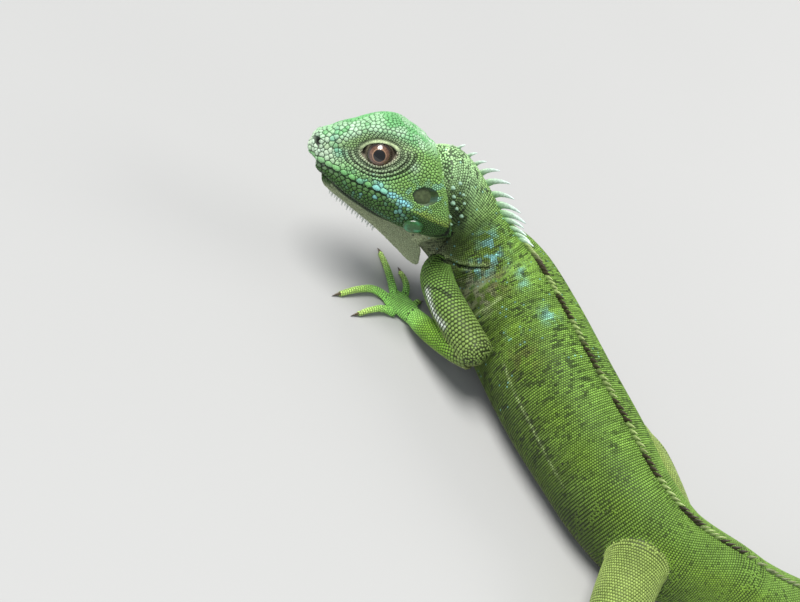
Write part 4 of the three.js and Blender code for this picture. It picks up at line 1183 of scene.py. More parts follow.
SETS = [  # piece, slot, first letters of the tubes it covers, kind, height over length
    ("scales_body", "trunk_skin", ("spine",), ROWED, 0.42),
    ("scales_neck", "trunk_skin", ("neck",), NECK_BEAD, 0.28),
    ("scales_arm_ridges", "limb_skin", ("ridged",), ROWED, 0.42),
    ("scales_arms", "limb_skin", ("upper", "forearm"), BEAD, 0.3),
    ("scales_legs", "limb_skin", ("thigh", "shank"), SMOOTH, 0.16),
    ("scales_hands_feet", "foot_skin", ("hand", "foot"), GRANULE, 0.28),
    ("scales_digits", "foot_skin", ("digit",), BEAD, 0.24),
]
# How much longer and broader than its space a scale is made.
SPREAD = {"scales_body": (0.9, 1.12), "scales_arm_ridges": (0.8, 1.2),
          "scales_neck": (1.08, 1.08), "scales_arms": (1.0, 1.0),
          "scales_legs": (1.02, 1.06), "scales_hands_feet": (1.06, 1.06), "scales_digits": (1.0, 1.0)}
SCALE_SHADES, DARK_FLECK, BLUE_FLECK, BLUE_FLECKS_FROM = (0.84, 1.16), 0.5, 0.3, 0.985
rows = body_scales()
bare = bare_scales(rows[0], rows[6])
spot, normal, lie, part, u, angle, length, width = (np.concatenate(v) for v in zip(rows, bare))
colour = paint(spot, part, u, angle)
fleck = rng.random(len(spot))
patchy = noise(spot, 5, 11)
dark_fleck = (fleck < 0.02 + 0.1 * patchy**2 * (body_row(u) < 8.6)) & (part < 2)
colour[dark_fleck] *= DARK_FLECK
blue_fleck = (fleck > BLUE_FLECKS_FROM) & (part == 0) & (body_row(u) > 4)
colour[blue_fleck] = mix(colour[blue_fleck], BLUE, np.full(blue_fleck.sum(), BLUE_FLECK))
colour *= rng.uniform(*SCALE_SHADES, len(spot))[:, None]
# Along the rows of the back some stretches are lighter and some are dark dashes.
row = body_row(u)
arc = np.interp(u, spine.us, spine.arc)
stretch = noise(np.stack([arc / 0.5, angle * 4, 0 * arc], 1), 1.0, 18)
dash = noise(np.stack([arc / 0.6, angle * 11, 0 * arc], 1), 1.0, 19)
streaked = (part == 0) * smoothstep(row, 1, 4)
colour *= (1 + 0.9 * (stretch - 0.5) * streaked)[:, None]
colour *= (1 - 0.7 * smoothstep(dash, 0.62, 0.78) * smoothstep(patchy, 0.25, 0.55) * streaked)[:, None]
part_of = np.array([t.name for t in tubes] + ["flap"])[part].astype("U24")
part_of[(part == 0) & (row + 0.5 * noise(spot, 3, 16) > 8.9)] = "neck"
ridged = (u < 0.36) | (line_gap(spot, ARM_STRIP) < 2.2)
part_of[ridged & np.char.startswith(part_of, "upper")] = "ridged"
for name, slot, letters, kind, ratio in SETS:
    here = np.array([n.startswith(letters) for n in part_of])
    order = np.flatnonzero(here)
    order = order[np.lexsort((u[order], part[order]))]
    size = np.stack([length, width, np.clip(ratio * length, 0.14, 0.36)], 1)[order]
    size[:, :2] *= SPREAD[name]
    add_scales(name, kind, spot[order], normal[order], lie[order], size, colour[order],
               unwrap(part[order], u[order], angle[order]))
flap = part == len(tubes)
size = np.stack([length, length, np.full(len(length), 0.16)], 1)[flap]
side_view = to_head(spot[flap])
sheet = np.where(side_view[:, 1] > 0, 0.25, 0.75)  # each side of the flap has its half of the map
place = np.stack([side_view[:, 0] / 60, sheet + side_view[:, 2] / 60], 1)
add_scales("scales_throat_flap", FINE, spot[flap], normal[flap], lie[flap], size,
           colour[flap], place)


# ---------------------------------------------------------------- plates of the head
OVER_LID = 1.42  # where the rows over the eye start, as a share of the lid opening
LIP_ROWS = [  # height over the mouth, first plate, space and breadth
    (1.15, 0.5, 2.8, 2.5), (2.9, 0.9, 1.9, 1.8), (-0.8, 1.4, 2.1, 1.7), (-2.1, 2.4, 1.8, 1.5),
    (-3.3, 5.2, 1.6, 1.25),
]
TOP_PLATES = [  # x, y and breadth along the top of the snout
    (1.5, 0, 2), (4, 1.6, 1.9), (4, -1.6, 1.9), (7.5, 0, 2.2), (10.5, 2, 2), (10.5, -2, 2),
    (13.5, 0, 2.1), (17, 1.4, 1.7), (17, -1.4, 1.7), (30, 0, 2.6),
]
# Rings of a plate from its foot to its middle: inset, rise and lightness, which is painted shade at the
# foot and painted light in the middle.
PLATE_RINGS = ((0.0, -0.3, 0.2), (0.06, 0.4, 0.68), (0.3, 0.95, 1.04), (1.0, 1.05, 1.1))


def cast(h_from, h_way):
    """Where lines in the head's frame meet the skin."""
    a, d = from_head(h_from), np.atleast_2d(h_way) @ HEAD_AXES
    return [surface.ray_cast(p, v)[0] for p, v in zip(a.tolist(), np.broadcast_to(d, a.shape).tolist())]


def head_plate_size(h):
    """Breadth of the plates at a place on the head."""
    x, y, z = h.T
    y = np.abs(y)
    size = np.interp(x, (-3, 4, 12, 20, 30, 44), (1.7, 1.75, 1.45, 1.1, 1.05, 1.1))
    mouth = z - np.interp(x, MOUTH_X, MOUTH_Z)
    size = np.where(mouth < -1, 1.15, size)
    size = np.where(mouth < -5, 0.9, size)
    cheek = line_gap(np.stack([x, y, z], 1), [(28, 12, -2.5), (35, 12, -3)])
    size = size + 0.45 * bump(cheek, 3.5)
    jowl = smoothstep(x, 37.5, 40) * (1 - smoothstep(z, 2, 5)) * (mouth > -5.5)
    size = size + (0.72 - size) * np.maximum(jowl, smoothstep(x, 41, 43) * (z < 16))
    eye, _, _ = lid_place(x, z, LIDS, LID_POWER)
    size = np.where((eye < 2.2) & (y > 4), np.interp(eye, (1, 1.25, 2.2), (0.5, 0.66, 1.0)), size)
    ear, _, _ = lid_place(x, z, TYMPANUM)
    return np.where((ear < 1.7) & (y > 6), 0.7, size)


def head_seeds():
    """Chosen plates: lips, lid rings, nose and the rows over the eye, with their breadths."""
    spots, sizes = [], []
    slant = NOSTRIL_TURN

    def add(x, z, size):
        for side in (1, -1):
            hit = cast([(x, 25 * side, z)], (0, -side, 0))[0]
            if hit is not None:
                spots.append(hit)
                sizes.append(size)

    def lid_ring(level, size, spacing, below=False, above=False):
        a, b = LIDS["half_length"] * level, LIDS["half_height"] * level
        count = int(2 * math.pi * math.sqrt((a * a + b * b) / 2) / spacing)
        for k in range(count):
            t = 2 * math.pi * (k + 0.5) / count
            c, s = math.cos(t), math.sin(t)
            p, q = math.copysign(abs(c) ** 1.14 * a, c), math.copysign(abs(s) ** 1.14 * b, s)
            if (below and q > 0.4) or (above and q < 0.8):
                continue
            add(*on_oval(LIDS, p, q), size)

    for rise, start, step, size in LIP_ROWS:
        for x in np.arange(start, 27, step):
            add(x, float(np.interp(x, MOUTH_X, MOUTH_Z)) + rise, size)
    lid_ring(LID_RING, 0.9, 0.8, below=True)
    for turn in range(1, 5):
        lid_ring(LID_RING + turn * LID_FOLD, 1.2, 0.95, below=True)
    over = np.array(BROW)[:, ::2]
    for share in (0.12, 0.32, 0.52, 0.72):
        for t in np.linspace(0.04, 0.96, 15):
            turn = math.pi * (1 - t)
            a = OVER_LID * LIDS["half_length"] * math.cos(turn)
            b = OVER_LID * LIDS["half_height"] * math.sin(turn)
            x, z = on_oval(LIDS, a, b)
            brow_x = 7 + 20.5 * t
            brow_z = float(np.interp(brow_x, *over.T)) - 0.8
            add(x + (brow_x - x) * share, z + (brow_z - z) * share, 0.95)
    for x in np.linspace(6, 26, 15):
        add(x, float(np.interp(x, *over.T)) - 0.3, 1.45)
    for k in range(10):
        t = 2 * math.pi * k / 10
        a, b = 2.9 * math.cos(t), 1.95 * math.sin(t)
        add(NOSTRIL[0] + slant[0] * a + slant[1] * b, NOSTRIL[2] - slant[1] * a + slant[0] * b, 1.3)
    real = len(spots)
    for a in (-0.9, 0, 0.9):
        add(NOSTRIL[0] + slant[0] * a, NOSTRIL[2] - slant[1] * a, 1.7)
    lid_ring(0.92, 0.5, 0.5)
    for level in (1.08, 1.2):
        lid_ring(level, 0.6, 0.5, above=True)
    for t in np.arange(0, 2 * math.pi, 0.22):
        a = 0.97 * TYMPANUM["half_length"] * math.cos(t)
        b = 0.97 * TYMPANUM["half_height"] * math.sin(t)
        add(*on_oval(TYMPANUM, a, b), 0.7)
    for x in np.arange(0.5, 27, 0.6):
        add(x, float(np.interp(x, MOUTH_X, MOUTH_Z)), 0.62)
    for x, _, z in spline(CREASE, np.linspace(0, 1, 60)):
        add(x, z, 0.7)
    blank = list(zip(spots[real:], sizes[real:]))
    del spots[real:], sizes[real:]
    for hit in cast([(-12, 0, z) for z in (2.6, 5.0, 7.4)], (1, 0, 0)):
        if hit is not None:
            spots.append(hit)
            sizes.append(2.2)
    for x, y, size in TOP_PLATES:
        hit = cast([(x, y, 45)], (0, 0, -1))[0]
        if hit is not None:
            spots.append(hit)
            sizes.append(size)
    return np.array(spots), np.array(sizes), blank


def spread_plates():
    """Seeds over the head: the chosen ones, an even spread between them, and the blank ones."""
    chosen, sizes, blank = head_seeds()
    middle = points[quads].mean(axis=1)
    zone = to_head(middle)
    near = inside_box(zone, PLATED) & (middle[:, 0] < HEAD_FROM)
    faces = np.flatnonzero(near)
    faces = faces[shapes_part(middle[faces]) == 1]
    share = rng.random((len(faces), 4, 2))
    corner = points[quads[faces]][:, None]
    s, t = share[..., :1], share[..., 1:]
    spots = (corner[:, :, 0] * (1 - s) + corner[:, :, 1] * s) * (1 - t)
    spots = (spots + (corner[:, :, 3] * (1 - s) + corner[:, :, 2] * s) * t).reshape(-1, 3)
    h = to_head(spots)
    y = np.abs(h[:, 1])
    opening, _, b = lid_place(h[:, 0], h[:, 2], LIDS, LID_POWER)
    inside = (opening < np.where(b > 0.8, 1.3, 1.02)) & (y > 3)
    inside |= (lid_place(h[:, 0], h[:, 2], TYMPANUM)[0] < 1.08) & (y > 6)
    inside |= nostril_place(h) < 1.35
    inside |= crease_gap(spots) < 0.5
    spots, h = spots[~inside], h[~inside]
    want = head_plate_size(h)
    tree = tree_of(spots)
    free = np.ones(len(spots), bool)
    for p, size in zip(chosen.tolist(), sizes.tolist()):
        for _, j, _ in tree.find_range(p, 0.72 * size):
            free[j] = False
    seeds = thinned(spots, 0.8 * want, tree, free)
    blank_spots, blank_sizes = np.array([b[0] for b in blank]), np.array([b[1] for b in blank])
    chosen = np.vstack([chosen, spots[seeds], blank_spots])
    return chosen, np.concatenate([sizes, want[seeds], blank_sizes]), len(blank)


def outlines(seeds, sizes, normal, directions=12, count=12):
    """Reach of each plate in even directions, to the lines half way to its neighbours."""
    tree = tree_of(seeds)
    near = np.array([[j for _, j, _ in tree.find_n(p, count + 1)][1:] for p in seeds.tolist()])
    helper = np.where(np.abs(normal[:, 2:]) < 0.9, (0.0, 0.0, 1.0), (1.0, 0.0, 0.0))
    t1 = unit(np.cross(helper, normal))
    t2 = np.cross(normal, t1)
    away = seeds[near] - seeds[:, None]
    x, y = (away * t1[:, None]).sum(-1), (away * t2[:, None]).sum(-1)
    gap = np.maximum(np.linalg.norm(away, axis=-1), 0.05)
    flat = np.maximum(np.hypot(x, y), 1e-6)
    mine, theirs = (sizes / 2)[:, None], (sizes / 2)[near]
    half = (gap**2 + mine**2 - theirs**2) / (2 * gap)
    angle = 2 * np.pi * (np.arange(directions) + 0.5) / directions
    facing = (x / flat)[..., None] * np.cos(angle) + (y / flat)[..., None] * np.sin(angle)
    reach = np.where(facing > 0.05, half[..., None] / np.maximum(facing, 0.05), 9.0).min(axis=1)
    reach = np.clip(reach, 0.12 * sizes[:, None], 0.78 * sizes[:, None])
    return reach, t1, t2, angle


def smooth_plates(spot):
    """How little the plates of the crown and the snout differ from middle to edge in their painted shade
    and light.
    """
    x, y, z = to_head(spot).T
    crown = smoothstep(z - np.interp(x, CROWN_X, TOP_PLATES_Z), -1.5, 1.5)
    return np.maximum(crown, 1 - smoothstep(x, 8, 13))


def add_plates(name, seeds, sizes, blanks, colour, place):
    """Plates that meet half way to their neighbours. The last seeds keep their place bare."""
    spot, normal, _ = on_skin(seeds)
    free = (np.arange(len(seeds)) < len(seeds) - blanks)[:, None]
    for _ in range(2):
        reach, t1, t2, angle = outlines(spot, sizes, normal)
        x, y = (reach * np.cos(angle)).mean(1), (reach * np.sin(angle)).mean(1)
        spot, normal, _ = on_skin(spot + 0.6 * free * (t1 * x[:, None] + t2 * y[:, None]))
    reach, t1, t2, angle = outlines(spot, sizes, normal)
    built = slice(0, len(seeds) - blanks)
    spot, normal, sizes, reach, t1, t2 = (v[built] for v in (spot, normal, sizes, reach, t1, t2))
    sides = len(angle)
    breadth = np.minimum(sizes, 2 * reach.mean(axis=1))
    height = np.clip(0.1 + 0.12 * breadth, 0.14, 0.33)
    gap = np.clip(0.05 / np.maximum(reach, 0.1), 0.02, 0.3)
    everything, shades, flats = [], [], []
    for inset, rise, light in PLATE_RINGS:
        share = np.maximum((1 - gap) * (1 - inset), 0)
        ring = 1 if inset == 1 else sides
        share = share[:, :ring]
        dx = reach[:, :ring] * share * np.cos(angle[:ring])
        dy = reach[:, :ring] * share * np.sin(angle[:ring])
        p = spot[:, None] + t1[:, None] * dx[..., None] + t2[:, None] * dy[..., None]
        base, n, gap_to = on_skin(p.reshape(-1, 3))
        base = np.where(gap_to[:, None] < 0.5, base, p.reshape(-1, 3)).reshape(p.shape)
        n = unit(n.reshape(p.shape) + normal[:, None])
        everything.append(base + n * (rise * height)[:, None, None])
        shades.append(np.full((len(spot), ring), light))
        flats.append(np.stack([dx, dy], -1) / np.maximum(breadth, 0.3)[:, None, None])
    made = np.concatenate(everything, axis=1)
    shade = np.concatenate(shades, axis=1)
    flat = np.concatenate(flats, axis=1)
    faces = ring_triangles(3, sides)
    faces += [(2 * sides + k, 2 * sides + (k + 1) % sides, 3 * sides) for k in range(sides)]
    faces += [(0, k + 1, k) for k in range(1, sides - 1)]
    faces, each = np.array(faces), 3 * sides + 1
    colour = colour(spot)
    shade = 1 + (shade - 1) * (1 - 0.55 * smooth_plates(spot))[:, None]
    order = np.argsort(to_head(spot)[:, 0])
    for piece, now in in_pieces(name, order, len(faces)):
        tint = (colour[now, None] * shade[now, :, None]).reshape(-1, 3)
        uv = (place(spot)[now, None] + flat[now] * PLATE_PATCH).reshape(-1, 2)
        finish_coat(piece, made[now].reshape(-1, 3), repeated(faces, len(now), each), tint, uv)


def head_colour(spot):
    colour = paint(spot, np.full(len(spot), 1), np.zeros(len(spot)), np.zeros(len(spot)))
    spread = rng.uniform(-1, 1, len(spot)) * (0.13 - 0.05 * smooth_plates(spot))
    return colour * (1 + spread)[:, None]


def head_place(spot):
    """An unwrap of the head: along it, and round it from the chin."""
    h = to_head(spot)
    turn = np.arctan2(h[:, 1], h[:, 2] - 6) / (2 * np.pi) + 0.5
    return np.stack([0.02 + 0.96 * (h[:, 0] + 6) / 60, 0.01 + 0.98 * turn], 1)


seeds, sizes, blanks = spread_plates()
add_plates("scales_head", seeds, sizes, blanks, head_colour, head_place)

# Painted shade: the skin seen between scales is darkened, while the throat flap and the bare lid keep
# most of their colour.
SKIN_SHADES, LID_SHADE = (0.8, 0.2), 0.95  # how light the skin is: throat flap, between scales, bare lid
skin_points = read_mesh(skin.data)
where = locate(skin_points)
shade = np.where(where[:, 0] == len(tubes), *SKIN_SHADES)[:, None]
h = to_head(skin_points)
opening, _, b = lid_place(h[:, 0], h[:, 2], LIDS, LID_POWER)
beside = (np.abs(h[:, 1]) > 3) & (where[:, 0] == 1)
band = (smoothstep(b, 0.6, 1.4) * (1 - smoothstep(opening, 1.3, 1.4)) * beside)[:, None]
shade = shade + (LID_SHADE - shade) * band
tint = shade * paint(skin_points, where[:, 0].astype(int), where[:, 1], where[:, 2])
within = (opening < 1.0) & beside
# Inside the lid opening: painted shade on the skin under the upper lid, the socket's own colour below
# it.
tint[within] = np.where(b[within, None] > 0.5, UNDER_LID_SHADE, SOCKET)
set_tint(skin, tint)


# ---------------------------------------------------------------- claws, crest and spines
def swept_point(spots, ups, sides, breadths, thicks, corners=8):
    """Rings along a curved point: places, two directions, and two half sizes for each ring."""
    angle = 2 * np.pi * np.arange(corners) / corners
    c, s = np.cos(angle)[None, :, None], np.sin(angle)[None, :, None]
    rings = spots[:, None] + ups[:, None] * c * breadths[:, None, None]
    rings = rings + sides[:, None] * s * thicks[:, None, None]
    faces = ring_triangles(len(spots), corners)
    last = (len(spots) - 1) * corners
    faces += [(0, k + 1, k) for k in range(1, corners - 1)]
    faces += [(last, last + k, last + k + 1) for k in range(1, corners - 1)]
    return rings.reshape(-1, 3), np.array(faces)


def spike(root, up, back, height, length, thick, lean, curl=0.0, slim=1.0):
    """A flat curved spike that stands on its root and trails backwards."""
    t = np.array((-0.3, 0.0, 0.25, 0.5, 0.75, 0.92, 1.0))
    rise = np.where(t < 0, t, t - curl * t**3)
    trail = lean * height * np.maximum(t, 0) ** 1.8
    spots = root + up * (rise * height)[:, None] + back * trail[:, None]
    taper = np.array((1.1, 1.0, 0.9, 0.76, 0.52, 0.26, 0.05)) ** (1 / slim)
    across = unit(np.cross(up, back))
    count = len(t)
    return swept_point(spots, np.tile(back, (count, 1)), np.tile(across, (count, 1)),
                       0.5 * length * taper, 0.5 * thick * taper**0.8), t


def gather(name, made, colours):
    """One piece from many small forms with a colour for each point."""
    everything, faces, count = [], [], 0
    for p, f in made:
        everything.append(p)
        faces.append(f + count)
        count += len(p)
    thing = even_mesh(name, np.clip(np.vstack(everything), *INSIDE), np.vstack(faces))
    thing.data.shade_smooth()
    set_tint(thing, np.vstack(colours))
    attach(thing, "root")
    return thing


def crest_at(u):
    """Mid-line of the back at a place on the spine: spot, outward and tailward directions."""
    _, along, _, rise = spine.frame(np.array([u]))
    raw = spine.surface(np.array([u]), np.array([np.pi / 2]), -COAT)
    spot, _, _ = on_skin(raw)
    return spot[0], rise[0], -along[0]


def crest_stops(first, last, spacing=None, count=None):
    start, stop = np.interp((first, last), spine.us, spine.arc)
    count = count or max(1, round((stop - start) / spacing))
    return spine.at(start + (stop - start) * (np.arange(count) + 0.5) / count)


NAPE_SPINES = [3.8, 4, 4.3, 5, 6.8, 6.4, 5.9, 6.6, 5.4, 3.2, 2.6, 2.2]
NAPE_SPINES_END_ROW = 10.65
CREST_SPACING, CREST_PERIOD = 2.2, 20
NAPE_BASE, NAPE_TIP = (0.17, 0.34, 0.13), (0.68, 0.8, 0.76)
LAST_BASE, LAST_TIP = (0.25, 0.4, 0.22), (0.45, 0.55, 0.4)
CREST_DARK = np.array([(0.02, 0.02, 0.009), (0.05, 0.034, 0.018)])  # base and tip
CREST_LIGHT = np.array([(0.13, 0.22, 0.05), (0.42, 0.52, 0.2)])
TAIL_SPINE = ((0.1, 0.15, 0.05), (0.22, 0.24, 0.12))
THROAT_SPINE = ((0.45, 0.48, 0.42), (0.8, 0.82, 0.78))
CLAW, CLAW_TIP = (0.13, 0.1, 0.05), (0.03, 0.02, 0.012)
THROAT_SPIKES, CLAW_SIDES = 18, 10
TAIL_CREST_START = 0.48  # share of the way from the tail's tip to its root
forms, tints = [], []


def add_spike(root, up, back, height, length, thick, lean, base, tip, curl=0.0, slim=1.0):
    form, t = spike(root, up, back, height, length, thick, lean, curl, slim)
    share = np.repeat(np.clip(t, 0, 1), len(form[0]) // len(t))
    forms.append(form)
    tints.append(mix(evenly(base, len(share)), tip, share))


nape_stops = crest_stops(at_row(7), at_row(NAPE_SPINES_END_ROW), count=len(NAPE_SPINES))
for u, height in zip(nape_stops, NAPE_SPINES):
    root, up, back = crest_at(u)
    add_spike(root, up, back, height + 0.35, 0.34 * height + 1.1, 0.14 * height + 0.45, 0.8,
              NAPE_BASE, NAPE_TIP, 0.08, 1.5)
for u in crest_stops(at_row(NAPE_SPINES_END_ROW), at_row(11), spacing=CREST_SPACING):
    root, up, back = crest_at(u)
    add_spike(root, up, back, 1.3, 1.3, 0.7, 0.6, LAST_BASE, LAST_TIP)
for u in crest_stops(at_row(0), at_row(7), spacing=CREST_SPACING):
    root, up, back = crest_at(u)
    height = float(np.interp(body_row(u), (0, 3, 7), (2.5, 2.8, 3))) * rng.uniform(0.88, 1.08)
    reached = float(np.interp(u, spine.us, spine.arc))
    group = math.sin(reached * 2 * math.pi / CREST_PERIOD) + rng.uniform(-0.4, 0.4)
    light = float(smoothstep(group, -0.2, 0.4)) * rng.uniform(0.7, 1)
    base, tip = CREST_DARK * (1 - light) + CREST_LIGHT * light
    add_spike(root, up, back, height, 2.3, 0.8, 0.85, base, tip, 0.15, 0.95)
for u in crest_stops(at_row(0) * TAIL_CREST_START, at_row(0), spacing=2.9):
    root, up, back = crest_at(u)
    height = float(np.interp(u / at_row(0), (TAIL_CREST_START, 1), (0.5, 2.3)))
    add_spike(root, up, back, height, 0.5 * height + 1.1, 0.35 * height + 0.1, 0.8, *TAIL_SPINE, 0.1)
crest = gather("crest", forms, tints)

forms, tints = [], []
down, rear = np.array((-0.35, 0, -0.94)) @ HEAD_AXES, np.array((0.94, 0, -0.35)) @ HEAD_AXES
for k in range(THROAT_SPIKES):
    t = k / (THROAT_SPIKES - 1)
    root = from_head((11 + 18.5 * t, 0, -7.3 - 4.8 * t))
    add_spike(root, down, rear, (1.9, 2.5)[k % 2], 1.15, 0.6, 0.4, *THROAT_SPINE)
gular = gather("throat_spikes", forms, tints)

forms, tints = [], []
for root, way, radius in claws:
    t = np.array((0.0, 0.2, 0.45, 0.7, 0.88, 1.0))
    flat = np.array((way[0], way[1], 0.0))
    rise = np.interp(t, (0, 0.25, 0.6, 1), (0.95, 1.0, 0.72, 0.16)) * radius
    spots = np.array((root[0], root[1], 0.0)) + flat * (t * (CLAW_LENGTH - 0.1) - 0.35)[:, None]
    spots[:, 2] = np.maximum(rise, 0.08)
    size = np.interp(t, (0, 0.2, 0.45, 0.7, 0.88, 1), (0.8, 0.72, 0.54, 0.34, 0.18, 0.05)) * radius
    side = np.tile(np.cross(flat, (0, 0, 1)), (len(t), 1))
    ups = np.tile((0.0, 0.0, 1.0), (len(t), 1))
    rings, faces = swept_point(spots, ups, side, size, size * 0.72, CLAW_SIDES)
    rings[:, 2] = np.maximum(rings[:, 2], 0.01)
    forms.append((rings, faces))
    tints.append(mix(evenly(CLAW, len(rings)), CLAW_TIP, np.repeat(t, CLAW_SIDES)))
claw_piece = gather("claws", forms, tints)

TUBERCLES = [  # on the neck behind the jowl, in the head's frame, with their breadth
    (45.7, 8.2, 13, 1.7), (47.6, 8, 10.3, 1.5), (48.4, 7.6, 8.1, 1.8), (50.9, 6.6, 6.5, 1.4),
    (49.8, 7.6, 4.1, 1.6), (53.9, 4.6, 4.3, 1.5), (52, 6.6, 1.9, 1.3), (47.8, 7.2, 15.3, 1.4),
    (50.6, 6.2, 11.9, 1.3), (52.6, 5.4, 9.1, 1.2),
]
spots, breadths = [], []
for x, y, z, breadth in TUBERCLES:
    for side in (1, -1):
        spots.append((x, y * side, z))
        breadths.append(breadth)
spot, normal, gap = on_skin(from_head(spots))
breadths = np.array(breadths)[gap < 3]
spot, normal = spot[gap < 3], normal[gap < 3]
size = np.stack([breadths, breadths, 0.62 * breadths], 1)
CONE = dome(10, ((1, -0.2, 0.5), (0.9, 0.2, 0.8), (0.6, 0.62, 1.0), (0.25, 0.95, 1.15)), 0.25)
back_way = evenly(HEAD_AXES[0], len(spot))
add_scales("neck_tubercles", CONE, spot, normal, back_way, size,
           evenly(TUBERCLE, len(spot)), head_place(spot))


# ---------------------------------------------------------------- eyes, eardrums and shields
EYE_SIDES, DISC_SIDES = 96, 64
IRIS, IRIS_LIGHT = (0.1, 0.045, 0.025), (0.2, 0.1, 0.06)
IRIS_DARK, IRIS_RIM = (0.04, 0.02, 0.012), (0.4, 0.24, 0.14)
# The last two are painted shade of the lids: the iris's own darker rim deepened, and the white of the
# eye made dark.
PUPIL, SHADED_IRIS_EDGE, SHADED_EYE_WHITE = (0.002, 0.002, 0.002), (0.022, 0.012, 0.008), (0.1, 0.085, 0.06)
EAR, EAR_LIGHT, EAR_RIM = (0.05, 0.07, 0.03), (0.09, 0.12, 0.05), (0.02, 0.035, 0.015)
SHIELD_GREEN, SHIELD_BLUE, SHIELD_RIM = (0.02, 0.1, 0.018), (0.05, 0.26, 0.12), (0.02, 0.06, 0.02)
# Rings of the eardrums and shields: reach and height, from the middle out.
EAR_PROFILE = [(0.001, -0.25), (0.3, -0.22), (0.6, -0.3), (0.85, -0.42), (1.05, -0.5), (1.1, -0.9)]
SHIELD_PROFILE = [(0.001, 0.62), (0.25, 0.6), (0.5, 0.5), (0.72, 0.34), (0.88, 0.14), (0.97, -0.1),
                  (1.0, -0.6)]


def eye_piece(side_name, side):
    """Ball, iris and pupil as rings round the line of sight, coloured by their reach."""
    gaze = EYE_GAZE * (1, side, 1)
    centre = EYE_BALL * (1, side, 1)
    across = unit(np.cross(gaze, (0, 0, 1)))
    above = np.cross(across, gaze)
    turns = np.concatenate([np.linspace(0, 0.9, 40), np.linspace(0.93, math.pi, 24)])
    ring = 2 * np.pi * np.arange(EYE_SIDES) / EYE_SIDES
    bulge = 1 + 0.035 * (1 - smoothstep(turns, 0.3, 0.8))
    r = (EYE_RADIUS * bulge)[:, None]
    t, a = turns[:, None], ring[None, :]
    p = centre + (r * np.cos(t))[..., None] * gaze
    p = p + (r * np.sin(t) * np.cos(a))[..., None] * across
    p = p + (r * np.sin(t) * np.sin(a))[..., None] * above
    reach = np.broadcast_to(EYE_RADIUS * np.sin(t), p.shape[:2]).ravel()
    angle = np.broadcast_to(a, p.shape[:2]).ravel()
    behind = np.broadcast_to(t, p.shape[:2]).ravel() > math.pi / 2
    streak = noise(np.stack([np.cos(angle) * 14, np.sin(angle) * 14, reach * 1.3], 1), 1.0, 12)
    fine = noise(np.stack([np.cos(angle) * 40, np.sin(angle) * 40, reach * 2], 1), 1.0, 13)
    colour = mix(evenly(IRIS, len(reach)), IRIS_LIGHT, streak)
    colour = mix(colour, IRIS_DARK, 0.7 * smoothstep(fine, 0.45, 0.8))
    colour = mix(colour, IRIS_RIM, 0.85 * bump(reach - 2.12, 0.14))
    # Painted shade of the lids over the rim of the iris and over the white of the eye.
    colour = mix(colour, SHADED_IRIS_EDGE, smoothstep(reach, 2.95, 3.5))
    colour = mix(colour, SHADED_EYE_WHITE, np.maximum(smoothstep(reach, 4.0, 4.4), behind))
    colour = mix(colour, PUPIL, (1 - smoothstep(reach, 1.85, 1.98)) * ~behind)
    faces = ring_quads(len(turns), EYE_SIDES)
    if side < 0:
        faces = faces[:, ::-1]
    thing = even_mesh(f"eyeball_{side_name}", from_head(p.reshape(-1, 3)), faces)
    thing.data.shade_smooth()
    set_tint(thing, colour)
    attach(thing, "root")
    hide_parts(f"eye_{side_name}")
    return thing


def disc_piece(name, node, slot, middle, outward, long_way, half_length, half_height, profile, tint):
    """A round plate: rings from its middle out, each with a reach and a height."""
    outward = unit(outward)
    long_way = unit(long_way - outward * (long_way @ outward))
    across = np.cross(outward, long_way)
    ring = 2 * np.pi * np.arange(DISC_SIDES) / DISC_SIDES
    made, reaches = [], []
    for reach, rise in profile:
        c, s = np.cos(ring)[:, None] * half_length * reach, np.sin(ring)[:, None] * half_height * reach
        made.append(middle + long_way * c + across * s + outward * rise)
        reaches.append(np.full(DISC_SIDES, reach))
    faces = ring_quads(len(profile), DISC_SIDES)[:, [0, 3, 2, 1]]
    thing = even_mesh(name, from_head(np.vstack(made)), faces)
    thing.data.shade_smooth()
    set_tint(thing, tint(np.vstack(made), np.concatenate(reaches)))
    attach(thing, "root")
    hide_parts(node)
    return thing


def ear_tint(h, reach):
    colour = mix(evenly(EAR, len(h)), EAR_LIGHT, noise(h, 1.2, 14))
    return mix(colour, EAR_RIM, smoothstep(reach, 0.75, 1.0))


def shield_tint(h, reach):
    colour = mix(evenly(SHIELD_GREEN, len(h)), SHIELD_BLUE, smoothstep(noise(h, 1.6, 15), 0.55, 0.8))
    return mix(colour, SHIELD_RIM, smoothstep(reach, 0.8, 1.05))


eyes, glossy, drums = [], [], []
for side_name, side in (("left", 1), ("right", -1)):
    eyes.append(eye_piece(side_name, side))
    tilt = TYMPANUM["tilt"]
    long_way = np.array((math.cos(tilt), 0, math.sin(tilt)))
    drums.append(disc_piece(f"eardrum_disc_{side_name}", f"eardrum_{side_name}", "eardrum",
                            np.array((TYMPANUM["x"], 13.2 * side, TYMPANUM["z"])),
                            np.array((0.12, side, 0.1)), long_way, TYMPANUM["half_length"],
                            TYMPANUM["half_height"], EAR_PROFILE, ear_tint))
    tilt = np.array((0.92, 0, 0.38))
    shield = disc_piece(f"shield_{side_name}", f"cheek_shield_{side_name}", "cheek_shield",
                        SHIELD * (1, side, 1), np.array((0.1, side, -0.42)), tilt,
                        *SHIELD_SIZE, SHIELD_PROFILE, shield_tint)
    glossy.append(shield)


